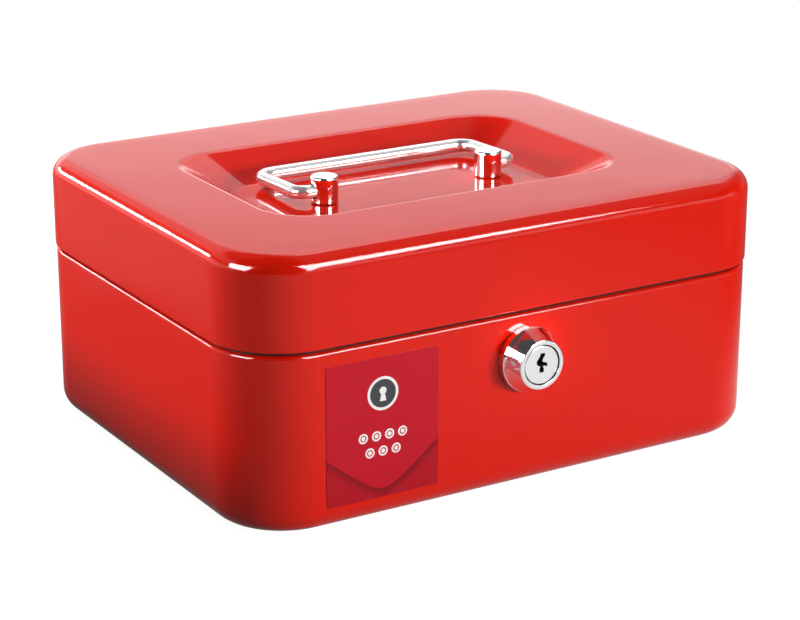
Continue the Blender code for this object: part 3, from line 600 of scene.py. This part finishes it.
def make_label_marks():
    """Generic print: a round badge with a keyhole, and two rows of plain coin dots."""
    shape = bmesh.new()
    ink_ring(shape, BADGE_X, BADGE_Z, BADGE_RADIUS, BADGE_RING_INSIDE, 48)
    ink_shape(shape, circle(BADGE_X, BADGE_Z, BADGE_GROUND_RADIUS), INK_THICK, 1)
    keyhole = arc((BADGE_X, BADGE_Z + BOW_RISE), BOW_RADIUS, BOW_START, BOW_END, steps=30)
    foot = BADGE_Z - SKIRT_DROP
    keyhole += [(BADGE_X - SKIRT_HALF, foot), (BADGE_X + SKIRT_HALF, foot)]
    ink_shape(shape, keyhole, 2 * INK_THICK, 0)
    for level, count in DOT_ROWS:
        for index in range(count):
            x = BADGE_X + (index - (count - 1) / 2) * DOT_PITCH
            ink_ring(shape, x, level, DOT_RADIUS, DOT_RING_INSIDE, 32)
            ink_shape(shape, circle(x, level, DOT_CENTRE_RADIUS, 24), INK_THICK, 0)
    return mesh_object("label_marks", shape)


# ---------------------------------------------------------------- small hardware and the tray


def refined(node, bevel):
    """A finer copy of a CAD node: cleaned faces and small rounded edges."""
    shape = bmesh.new()
    shape.from_mesh(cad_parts[node].data)
    bmesh.ops.remove_doubles(shape, verts=shape.verts, dist=1e-6)
    bmesh.ops.dissolve_limit(shape, angle_limit=FLAT_WITHIN, verts=shape.verts, edges=shape.edges)
    thing = mesh_object(f"{node}_fine", shape)
    modifier = thing.modifiers.new("edges", "BEVEL")
    modifier.width = bevel
    modifier.segments = 2
    modifier.limit_method = "ANGLE"
    modifier.angle_limit = BEVEL_ABOVE
    soften(thing)
    return thing


def make_washer(name, node):
    """Flat washer with small rounded edges."""
    low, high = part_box(node)
    centre = ((low.x + high.x) / 2, (low.y + high.y) / 2, low.z)
    outer = (high.x - low.x) / 2
    thick = high.z - low.z
    bore = TENON_RADIUS + WASHER_CLEARANCE
    edge = WASHER_EDGE
    profile = [(bore, edge), (bore + edge, 0.0), (outer - edge, 0.0), (outer, edge)]
    profile += [(outer, thick - edge), (outer - edge, thick), (bore + edge, thick), (bore, thick - edge)]
    thing = turned(name, profile, centre, (0, 0, 1), 48, closed=True)
    soften(thing)
    return thing


def make_pin(name, node):
    """Hinge pin with a low domed head at both ends."""
    low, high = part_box(node)
    centre = ((low.x + high.x) / 2, (low.y + high.y) / 2, (low.z + high.z) / 2)
    half = (high.x - low.x) / 2
    head = (high.z - low.z) / 2
    dome = ((0.1 * MM, 0.0), (head * 0.55, 0.08), (head * 0.85, 0.28), (head, 0.55), (head, 0.8))
    profile = [(radius, half - depth * MM) for radius, depth in dome]
    profile.append((PIN_SHANK_RADIUS, profile[-1][1]))
    profile += [(radius, -distance) for radius, distance in reversed(profile)]
    thing = turned(name, profile, centre, (1, 0, 0), 32)
    soften(thing)
    return thing


# ---------------------------------------------------------------- material helpers


def add_node(tree, kind, values=None, **settings):
    """Add a shader node; a value that is a socket is linked, any other is set."""
    node = tree.nodes.new(kind)
    for key, value in settings.items():
        setattr(node, key, value)
    for key, value in (values or {}).items():
        if isinstance(value, bpy.types.NodeSocket):
            tree.links.new(value, node.inputs[key])
        else:
            node.inputs[key].default_value = value
    return node


def start_material(name, colour, roughness, metallic):
    """A material with its main values set, its shader and the place on the object."""
    material = bpy.data.materials.new(name)
    material.use_nodes = True
    material.diffuse_color = (*colour, 1.0)
    tree = material.node_tree
    shader = tree.nodes["Principled BSDF"]
    shader.inputs["Base Color"].default_value = (*colour, 1.0)
    shader.inputs["Roughness"].default_value = roughness
    shader.inputs["Metallic"].default_value = metallic
    place = add_node(tree, "ShaderNodeTexCoord").outputs["Object"]
    return material, tree, shader, place


def noise(tree, place, size, detail=2.0, roughness=0.5, distortion=0.0):
    """Noise whose cells are about the given size across."""
    values = {"Vector": place, "Scale": 1.0 / size, "Detail": detail, "Roughness": roughness}
    values["Distortion"] = distortion
    return add_node(tree, "ShaderNodeTexNoise", values).outputs["Fac"]


def remap(tree, value, low, high, from_low=0.3, from_high=0.7, smooth=False):
    """Map a span of a value to another span; the default span is where most noise lies."""
    values = {"Value": value, "From Min": from_low, "From Max": from_high, "To Min": low, "To Max": high}
    kind = "SMOOTHSTEP" if smooth else "LINEAR"
    node = add_node(tree, "ShaderNodeMapRange", values, interpolation_type=kind, clamp=True)
    return node.outputs["Result"]


def ramp(tree, value, low, high, span):
    """Go smoothly from one number to another while a value crosses a span."""
    return remap(tree, value, low, high, *span, smooth=True)


def blend_colours(tree, factor, first, second):
    """Mix two colours, each a socket or a plain tuple."""
    node = add_node(tree, "ShaderNodeMix", data_type="RGBA")
    for index, value in ((MIX_FACTOR, factor), (MIX_FIRST, first), (MIX_SECOND, second)):
        if isinstance(value, bpy.types.NodeSocket):
            tree.links.new(value, node.inputs[index])
        else:
            node.inputs[index].default_value = (*value, 1.0)
    return node.outputs[MIX_RESULT]


def combine(tree, operation, first, second=0.0):
    """One arithmetic step on sockets or numbers."""
    return add_node(tree, "ShaderNodeMath", {0: first, 1: second}, operation=operation).outputs[0]


def product(tree, first, *others):
    """All the given sockets or numbers multiplied together."""
    for other in others:
        first = combine(tree, "MULTIPLY", first, other)
    return first


def relief(tree, height, depth, normal=None):
    """Bump of a given depth in metres, added to an earlier one."""
    values = {"Height": height, "Distance": depth, "Strength": 1.0}
    if normal is not None:
        values["Normal"] = normal
    return add_node(tree, "ShaderNodeBump", values).outputs["Normal"]


def scaled(colour, factor):
    """A colour made lighter or darker."""
    return tuple(channel * factor for channel in colour)


def share_of(tree, pattern):
    """A noise pattern stretched to run from 0 to 1."""
    return remap(tree, pattern, 0.0, 1.0)


# ---------------------------------------------------------------- materials


def enamel(name, colour, roughness):
    """Stoved enamel on drawn sheet: faint orange peel, slow sheet waves, handling marks in the gloss."""
    material, tree, shader, place = start_material(name, colour, roughness, 0.0)
    tone = share_of(tree, noise(tree, place, size=38 * MM, detail=3.0))
    paint = blend_colours(tree, tone, scaled(colour, 0.965), colour)
    tree.links.new(paint, shader.inputs["Base Color"])
    smears = noise(tree, place, size=16 * MM, detail=5.0, roughness=0.6, distortion=0.4)
    tree.links.new(remap(tree, smears, roughness * 0.8, roughness * 1.7), shader.inputs["Roughness"])
    waves = relief(tree, noise(tree, place, size=42 * MM, detail=1.0), depth=60e-6)
    peel = relief(tree, noise(tree, place, size=1.7 * MM, detail=1.0), depth=1.1e-6, normal=waves)
    tree.links.new(peel, shader.inputs["Normal"])
    shader.inputs["IOR"].default_value = 1.34
    return material


def chrome(name, colour, roughness, grain, metallic=1.0):
    """Bright plating: nearly mirror smooth, with a haze of fine handling scratches."""
    material, tree, shader, place = start_material(name, colour, roughness, metallic)
    haze = noise(tree, place, size=3.5 * MM, detail=4.0, roughness=0.65)
    tree.links.new(remap(tree, haze, roughness * 0.6, roughness * 1.5), shader.inputs["Roughness"])
    tone = share_of(tree, noise(tree, place, size=7 * MM))
    plating = blend_colours(tree, tone, scaled(colour, 0.97), colour)
    tree.links.new(plating, shader.inputs["Base Color"])
    scratches = noise(tree, place, size=0.5 * MM, detail=2.0)
    tree.links.new(relief(tree, scratches, depth=grain), shader.inputs["Normal"])
    return material


def zinc(name, colour, roughness):
    """Zinc plate on pressed steel: cloudy tone, dull patches and rolling marks along X."""
    material, tree, shader, place = start_material(name, colour, roughness, 1.0)
    clouds = noise(tree, place, size=4.5 * MM, detail=5.0, roughness=0.6, distortion=0.6)
    tone = blend_colours(tree, share_of(tree, clouds), scaled(colour, 0.80), scaled(colour, 1.12))
    tree.links.new(tone, shader.inputs["Base Color"])
    tree.links.new(remap(tree, clouds, roughness * 1.35, roughness * 0.8), shader.inputs["Roughness"])
    stretch = add_node(tree, "ShaderNodeMapping", {"Vector": place, "Scale": (0.06, 1.0, 1.0)})
    marks = noise(tree, stretch.outputs["Vector"], size=0.35 * MM, detail=3.0)
    fine = relief(tree, marks, depth=4e-6)
    dents = relief(tree, noise(tree, place, size=2.2 * MM, detail=2.0), depth=8e-6, normal=fine)
    tree.links.new(dents, shader.inputs["Normal"])
    return material


def brass(name, colour, roughness):
    """Stamped brass strip with faint tarnish."""
    material, tree, shader, place = start_material(name, colour, roughness, 1.0)
    tarnish = noise(tree, place, size=2.4 * MM, detail=4.0, roughness=0.6)
    tone = blend_colours(tree, share_of(tree, tarnish), scaled(colour, 0.72), colour)
    tree.links.new(tone, shader.inputs["Base Color"])
    tree.links.new(remap(tree, tarnish, roughness * 1.4, roughness * 0.85), shader.inputs["Roughness"])
    grain = noise(tree, place, size=0.4 * MM, detail=2.0)
    tree.links.new(relief(tree, grain, depth=3e-6), shader.inputs["Normal"])
    return material


def plastic(name, colour, roughness):
    """Black moulded plastic: fine spark-eroded grain, rubbed a little smoother in patches."""
    material, tree, shader, place = start_material(name, colour, roughness, 0.0)
    rubbed = noise(tree, place, size=14 * MM, detail=4.0, roughness=0.6)
    tone = blend_colours(tree, share_of(tree, rubbed), scaled(colour, 0.85), scaled(colour, 1.5))
    tree.links.new(tone, shader.inputs["Base Color"])
    tree.links.new(remap(tree, rubbed, roughness * 1.15, roughness * 0.8), shader.inputs["Roughness"])
    flow = relief(tree, noise(tree, place, size=30 * MM, detail=1.0), depth=40e-6)
    grain = relief(tree, noise(tree, place, size=0.45 * MM, detail=2.0), depth=9e-6, normal=flow)
    tree.links.new(grain, shader.inputs["Normal"])
    return material


def label_print(name, upper, lower):
    """Printed film: a flap with a rounded point over a darker ground, with its soft printed shadow."""
    material, tree, shader, place = start_material(name, upper, 0.3, 0.0)
    axes = add_node(tree, "ShaderNodeSeparateXYZ", {0: place})
    across = combine(tree, "SUBTRACT", axes.outputs["X"], BADGE_X)
    squared = combine(tree, "MULTIPLY", across, across)
    reach = combine(tree, "SQRT", combine(tree, "ADD", squared, FLAP_ROUND**2))
    edge = combine(tree, "MULTIPLY", combine(tree, "SUBTRACT", reach, FLAP_ROUND), FLAP_SLOPE)
    below = combine(tree, "SUBTRACT", combine(tree, "ADD", edge, FLAP_LOW), axes.outputs["Z"])
    shade = ramp(tree, below, FLAP_SHADE, 1.0, (0.0, FLAP_SHADOW))
    ground = add_node(tree, "ShaderNodeMix", data_type="RGBA", blend_type="MULTIPLY")
    ground.inputs[MIX_FACTOR].default_value = 1.0
    ground.inputs[MIX_FIRST].default_value = (*lower, 1.0)
    tree.links.new(shade, ground.inputs[MIX_SECOND])
    is_flap = remap(tree, below, 1.0, 0.0, -FLAP_EDGE, FLAP_EDGE)
    print_tone = blend_colours(tree, is_flap, ground.outputs[MIX_RESULT], upper)
    grain = remap(tree, noise(tree, place, size=0.6 * MM, detail=3.0), 0.0, 0.05)
    mottled = blend_colours(tree, grain, print_tone, scaled(upper, 0.6))
    tree.links.new(mottled, shader.inputs["Base Color"])
    rough = remap(tree, noise(tree, place, size=9 * MM, detail=2.0), 0.32, 0.36, 0.2, 0.8)
    tree.links.new(rough, shader.inputs["Roughness"])
    lift = relief(tree, noise(tree, place, size=11 * MM, detail=1.0), depth=14e-6)
    fibre = relief(tree, noise(tree, place, size=0.5 * MM, detail=2.0), depth=1.5e-6, normal=lift)
    tree.links.new(fibre, shader.inputs["Normal"])
    shader.inputs["IOR"].default_value = 1.3
    return material


def ink(name, colour):
    """Printed ink, with the faint unevenness of a screen print."""
    material, tree, shader, place = start_material(name, colour, 0.35, 0.0)
    tone = share_of(tree, noise(tree, place, size=0.5 * MM, detail=3.0))
    printed = blend_colours(tree, tone, scaled(colour, 0.93), colour)
    tree.links.new(printed, shader.inputs["Base Color"])
    grain = noise(tree, place, size=0.4 * MM, detail=2.0)
    tree.links.new(relief(tree, grain, depth=1.5e-6), shader.inputs["Normal"])
    return material


# ---------------------------------------------------------------- put the pieces together


def install(piece, body, slot, materials, *nodes):
    """Give a piece its materials and its body, and hide the CAD nodes it stands for; the finish slot is
    not used.
    """
    for material in materials:
        piece.data.materials.append(material)
    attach(piece, body)
    if nodes:
        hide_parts(*nodes)


def install_refined(node, bevel, body, slot, material):
    """Put a finer copy of a CAD node in its place."""
    install(refined(node, bevel), body, slot, [material], node)


red = enamel("red_enamel", (0.75, 0.010, 0.001), 0.07)
# Near-black enamel painted on the lip below the lid's edge: painted shade in the seam gap
gap_painted_shade = enamel("gap_shade_enamel", (0.035, 0.002, 0.001), 0.3)
ledge_red = enamel("ledge_enamel", (0.62, 0.010, 0.006), 0.2)
bright = chrome("bright_chrome", (0.97, 0.97, 0.975), 0.05, 0.25e-6)
pale = chrome("bail_chrome", (0.95, 0.95, 0.955), 0.07, 0.25e-6, 0.72)
satin = chrome("plug_satin", (0.99, 0.99, 0.99), 0.14, 1.5e-6)
# Painted shade for the keyway's walls and end, made with the black plastic recipe
shaded = plastic("keyway_shade", (0.012, 0.012, 0.012), 0.6)
plated = zinc("zinc_plate", (0.58, 0.59, 0.61), 0.3)
hinge_plate = zinc("hinge_plate", (0.55, 0.56, 0.58), 0.28)
wafer = brass("wafer_brass", (0.72, 0.52, 0.22), 0.28)
tray_black = plastic("tray_black", (0.018, 0.018, 0.020), 0.42)
film = label_print("label_crimson", (0.55, 0.005, 0.019), (0.45, 0.004, 0.013))
white_ink = ink("ink_white", (0.98, 0.97, 0.96))
grey_ink = ink("ink_charcoal", (0.030, 0.038, 0.042))

install(make_lid_skin(), "lid", "red_paint", [red], "lid_shell")
install(make_base_skin(), "base", "red_paint", [red, gap_painted_shade], "base_shell")
install(make_rose(), "base", "chrome", [bright], "lock_housing")
install(make_plug(), "plug", "plug_metal", [satin, shaded], "lock_plug")
install(make_post("post_left_turned", -1), "lid", "chrome", [bright], "handle_post_left")
install(make_post("post_right_turned", 1), "lid", "chrome", [bright], "handle_post_right")
install(make_bail(), "bail", "chrome", [pale], "handle_bail")
install(make_label(), "base", "label_print", [film], "front_label")
install(make_label_marks(), "base", "label_print", [white_ink, grey_ink])

for side in ("left", "right"):
    pin_node = f"hinge_pin_{side}"
    washer_node = f"post_washer_{side}"
    install_refined(f"hinge_base_leaf_{side}", 0.18 * MM, "base", "hinge_steel", hinge_plate)
    install_refined(f"hinge_lid_leaf_{side}", 0.18 * MM, "lid", "hinge_steel", hinge_plate)
    install(make_pin(f"pin_{side}_headed", pin_node), "base", "zinc_steel", [plated], pin_node)
    washer = make_washer(f"washer_{side}_turned", washer_node)
    install(washer, "lid", "zinc_steel", [plated], washer_node)
    install_refined(f"tray_ledge_{side}", 0.2 * MM, "base", "ledge_paint", ledge_red)

install_refined("lock_nut", 0.35 * MM, "base", "zinc_steel", plated)
install_refined("lid_catch", 0.2 * MM, "lid", "zinc_steel", plated)
install_refined("lock_cam", 0.2 * MM, "plug", "zinc_steel", plated)
install_refined("cam_screw", 0.12 * MM, "plug", "zinc_steel", plated)
for number in range(1, 5):
    install_refined(f"lock_wafer_{number}", 0.08 * MM, "plug", "wafer_brass", wafer)
install_refined("coin_tray", 0.35 * MM, "tray", "tray_plastic", tray_black)


# ---------------------------------------------------------------- studio

WHITE = (1.0, 1.0, 1.0, 1.0)
BLACK = (0.0, 0.0, 0.0)

# Floor: spans are (from, to) in metres along X, Y or X - Y
FLOOR_HALF = 6.0
FLOOR_DROP = 0.0002
FLOOR_TONE = (0.30, 0.30, 0.30)
FLOOR_LIFT = 0.96
FLOOR_GLOW_LOW = 0.12
FLOOR_GLOW_HIGH = 0.55
GLOW_RISE = (-0.15, 0.20)
GLOW_FADE = (0.10, 0.26)
GLOW_LEFT_OVER = 0.15
# Painted shade on the floor beside the box's left and right ends
LEFT_DARKNESS = 0.7
LEFT_OUTER = (-0.20, -0.15)
LEFT_INNER = (-0.10, -0.06)
LEFT_FRONT = (-0.10, -0.04)
RIGHT_DARKNESS = 0.8
RIGHT_INNER = (0.09, 0.18)
RIGHT_FRONT = (-0.20, -0.12)

# Ceiling behind the box: (height of the direction, share of the peak)
CEILING = (
    (0.0, 0.36),
    (0.20, 0.36),
    (0.233, 0.284),
    (0.26, 0.224),
    (0.292, 0.172),
    (0.33, 0.19),
    (0.39, 0.25),
    (0.48, 0.32),
    (0.60, 0.40),
    (0.72, 0.58),
    (0.81, 0.80),
)
CEILING_PEAK = 4.6

# Surroundings: spans are (from, to) along the X, Y or Z of a direction
CEILING_LEAN = 0.32
CEILING_EDGE = (-0.02, 0.04)
CEILING_RIGHT = (0.64, 0.80)
CEILING_RIGHT_LEVEL = 0.12
GAP_DARKNESS = 0.8
GAP_RIGHT = (-0.2, -0.05)
GAP_BOTTOM = (0.26, 0.30)
GAP_TOP = (0.42, 0.46)
TRIM_RIGHT = (0.25, 0.38)
TRIM_START = (0.42, 0.50)
TRIM_START_DARKNESS = 0.5
TRIM_END = (0.62, 0.75)
TRIM_END_DARKNESS = 0.47
OVERHEAD_GLOW = 0.45
OVERHEAD_BOTTOM = (0.45, 0.70)
OVERHEAD_LEFT = (0.10, 0.30)
FRONT_GLOW = 2.0
FRONT_EDGE = (-0.5, -0.2)
FRONT_TOP = (0.12, 0.25)
FRONT_LEFT = (-0.05, 0.25)
SIDE_LIGHT = 0.06

# Low black board at the box's left
FLAG_X = -0.18
FLAG_FRONT = -0.11
FLAG_BACK = 0.18
FLAG_TOP = 0.034

# Camera
CAMERA_AZIMUTH = -31.17
CAMERA_ELEVATION = 18.475
CAMERA_DISTANCE = 0.82484
CAMERA_PAN = (0.00108, -0.00759)
CAMERA_LENS = 107.86


def make_floor():
    """A wide, pale table top with painted shade, darker beside the box's two ends.

    It is lifted to white for the camera, and carries a soft glow that only gloss sees.
    """
    shape = bmesh.new()
    bmesh.ops.create_grid(shape, x_segments=1, y_segments=1, size=FLOOR_HALF)
    floor = mesh_object("studio_floor", shape)
    floor.location.z = -FLOOR_DROP
    material, tree, shader, place = start_material("pale_floor", FLOOR_TONE, 0.9, 0.0)
    shader.inputs["Specular IOR Level"].default_value = 0.0
    shader.inputs["Emission Color"].default_value = WHITE
    rays = add_node(tree, "ShaderNodeLightPath").outputs
    axes = add_node(tree, "ShaderNodeSeparateXYZ", {0: place})
    x, y = axes.outputs["X"], axes.outputs["Y"]
    across = combine(tree, "SUBTRACT", x, y)
    pool = product(
        tree,
        ramp(tree, across, FLOOR_GLOW_LOW, FLOOR_GLOW_HIGH, GLOW_RISE),
        ramp(tree, x, 1.0, GLOW_LEFT_OVER, GLOW_FADE),
    )
    left_painted_shade = product(
        tree,
        ramp(tree, x, 0.0, LEFT_DARKNESS, LEFT_OUTER),
        ramp(tree, x, 1.0, 0.0, LEFT_INNER),
        ramp(tree, y, 0.0, 1.0, LEFT_FRONT),
    )
    right_painted_shade = product(
        tree,
        ramp(tree, x, 0.0, RIGHT_DARKNESS, RIGHT_INNER),
        ramp(tree, y, 0.0, 1.0, RIGHT_FRONT),
    )
    # Painted shade: the floor's colour goes towards black beside the box's two ends
    beside = combine(tree, "MAXIMUM", left_painted_shade, right_painted_shade)
    tree.links.new(blend_colours(tree, beside, FLOOR_TONE, BLACK), shader.inputs["Base Color"])
    glow = product(tree, rays["Is Glossy Ray"], pool)
    lift = product(tree, rays["Is Camera Ray"], FLOOR_LIFT)
    tree.links.new(combine(tree, "ADD", glow, lift), shader.inputs["Emission Strength"])
    floor.data.materials.append(material)


def ceiling_light(tree, x, y, z):
    """Brightness of the big panel behind and above the box, with its soft edges and darker parts."""
    gradient = add_node(tree, "ShaderNodeValToRGB", {"Fac": z})
    stops = gradient.color_ramp.elements
    while len(stops) < len(CEILING):
        stops.new(0.5)
    for stop, (height, share) in zip(stops, CEILING):
        stop.position = height
        stop.color = (share, share, share, 1.0)
    panel = product(tree, gradient.outputs["Color"], CEILING_PEAK)
    front_edge = combine(tree, "SUBTRACT", y, product(tree, z, CEILING_LEAN))
    behind = ramp(tree, front_edge, 0.0, 1.0, CEILING_EDGE)
    right_end = ramp(tree, x, 1.0, CEILING_RIGHT_LEVEL, CEILING_RIGHT)
    gap = product(
        tree,
        ramp(tree, z, 0.0, 1.0, GAP_BOTTOM),
        ramp(tree, z, 1.0, 0.0, GAP_TOP),
        ramp(tree, x, GAP_DARKNESS, 0.0, GAP_RIGHT),
    )
    lit = product(tree, panel, combine(tree, "SUBTRACT", 1.0, gap), behind, right_end)
    dimmed = ramp(tree, z, 0.0, TRIM_START_DARKNESS, TRIM_START)
    darkened = ramp(tree, z, 0.0, TRIM_END_DARKNESS, TRIM_END)
    left_part = ramp(tree, x, 1.0, 0.0, TRIM_RIGHT)
    trim = product(tree, combine(tree, "ADD", dimmed, darkened), left_part)
    return product(tree, lit, combine(tree, "SUBTRACT", 1.0, trim))


def make_world():
    """Studio surroundings: a big ceiling panel behind the box and a low glow in a dim room.

    They are white to the camera, and a faint glow overhead is seen only by gloss.
    """
    world = bpy.data.worlds.new("studio")
    bpy.context.scene.world = world
    world.use_nodes = True
    tree = world.node_tree
    tree.nodes.clear()
    place = add_node(tree, "ShaderNodeTexCoord").outputs["Generated"]
    axes = add_node(tree, "ShaderNodeSeparateXYZ", {0: place})
    x, y, z = (axes.outputs[name] for name in "XYZ")
    rays = add_node(tree, "ShaderNodeLightPath").outputs
    overhead = product(
        tree,
        ramp(tree, z, 0.0, OVERHEAD_GLOW, OVERHEAD_BOTTOM),
        ramp(tree, x, 0.0, 1.0, OVERHEAD_LEFT),
        rays["Is Glossy Ray"],
    )
    front = product(
        tree,
        ramp(tree, y, FRONT_GLOW, 0.0, FRONT_EDGE),
        ramp(tree, z, 1.0, 0.0, FRONT_TOP),
        ramp(tree, x, 0.0, 1.0, FRONT_LEFT),
    )
    lit = combine(tree, "MAXIMUM", ceiling_light(tree, x, y, z), overhead)
    lit = combine(tree, "ADD", combine(tree, "ADD", lit, front), SIDE_LIGHT)
    strength = combine(tree, "MAXIMUM", lit, rays["Is Camera Ray"])
    background = add_node(tree, "ShaderNodeBackground", {"Color": WHITE, "Strength": strength})
    output = add_node(tree, "ShaderNodeOutputWorld")
    tree.links.new(background.outputs[0], output.inputs["Surface"])


def direction(azimuth, elevation):
    """Unit vector by azimuth from -Y towards +X and elevation, in degrees."""
    turn, lift = math.radians(azimuth), math.radians(elevation)
    return Vector((math.sin(turn) * math.cos(lift), -math.cos(turn) * math.cos(lift), math.sin(lift)))


def make_card(name, corners, distance, radiance):
    """A bright card that shows only in gloss and chrome; its corners are (azimuth, elevation)."""
    centre = Vector((0.0, 0.0, TOP_Z))
    shape = bmesh.new()
    shape.faces.new([shape.verts.new(centre + direction(*corner) * distance) for corner in corners])
    card = mesh_object(name, shape)
    material, _, shader, _ = start_material(f"{name}_light", BLACK, 1.0, 0.0)
    shader.inputs["Emission Color"].default_value = WHITE
    shader.inputs["Emission Strength"].default_value = radiance
    card.data.materials.append(material)
    card.visible_camera = False
    card.visible_diffuse = False
    card.visible_shadow = False


def make_flag(name):
    """A dull black board standing on the floor; only its shadow shows."""
    outline = ((FLAG_FRONT, 0.0), (FLAG_BACK, 0.0), (FLAG_BACK, FLAG_TOP), (FLAG_FRONT, FLAG_TOP))
    shape = bmesh.new()
    shape.faces.new([shape.verts.new((FLAG_X, y, z)) for y, z in outline])
    board = mesh_object(name, shape)
    material, _, shader, _ = start_material(f"{name}_black", BLACK, 1.0, 0.0)
    shader.inputs["Specular IOR Level"].default_value = 0.0
    board.data.materials.append(material)
    board.visible_camera = False
    board.visible_glossy = False


def make_light(name, azimuth, elevation, distance, side, radiance):
    """A square soft light aimed at the box; its power follows from its size and brightness."""
    light = bpy.data.lights.new(name, "AREA")
    light.shape = "RECTANGLE"
    light.size = side
    light.size_y = side
    light.energy = radiance * math.pi * side * side
    thing = bpy.data.objects.new(name, light)
    toward = direction(azimuth, elevation)
    centre = Vector((0.0, 0.0, TOP_Z / 2))
    thing.location = centre + toward * distance
    thing.rotation_euler = toward.to_track_quat("Z", "Y").to_euler()
    thing.visible_glossy = False
    bpy.context.scene.collection.objects.link(thing)


def make_camera():
    """The camera, slid a little sideways and up or down in its own plane to frame the box."""
    back = direction(CAMERA_AZIMUTH, CAMERA_ELEVATION)
    turn = math.radians(CAMERA_AZIMUTH)
    right = Vector((math.cos(turn), math.sin(turn), 0.0))
    up = back.cross(right)
    data = bpy.data.cameras.new("camera")
    data.lens = CAMERA_LENS
    data.sensor_width = 36.0
    data.clip_start = 0.01
    camera = bpy.data.objects.new("camera", data)
    camera.rotation_euler = Matrix((right, up, back)).transposed().to_euler()
    centre = Vector((0.0, 0.0, TOP_Z / 2))
    camera.location = centre + back * CAMERA_DISTANCE + right * CAMERA_PAN[0] + up * CAMERA_PAN[1]
    bpy.context.scene.collection.objects.link(camera)
    bpy.context.scene.camera = camera


make_floor()
make_world()
make_light("key_front_right", azimuth=32, elevation=9, distance=2.6, side=0.68, radiance=38.0)
make_light("fill_back_left", azimuth=-122.5, elevation=9, distance=1.3, side=0.34, radiance=33.0)
make_light("top_soft", azimuth=-150, elevation=60, distance=1.3, side=0.60, radiance=6.4)
make_flag("flag_left")
make_card("card_front", ((-5, 41), (8, 8), (39, 23), (37, 32)), distance=1.2, radiance=42.0)
make_card("card_back_left", ((-144, 17), (-144, 12), (-168, 10), (-168, 15)), distance=1.6, radiance=42.0)
make_card("card_left", ((-104, 30), (-100, 11), (-74, 9), (-66, 31)), distance=1.2, radiance=42.0)
make_camera()
bpy.context.scene.view_settings.view_transform = "Standard"
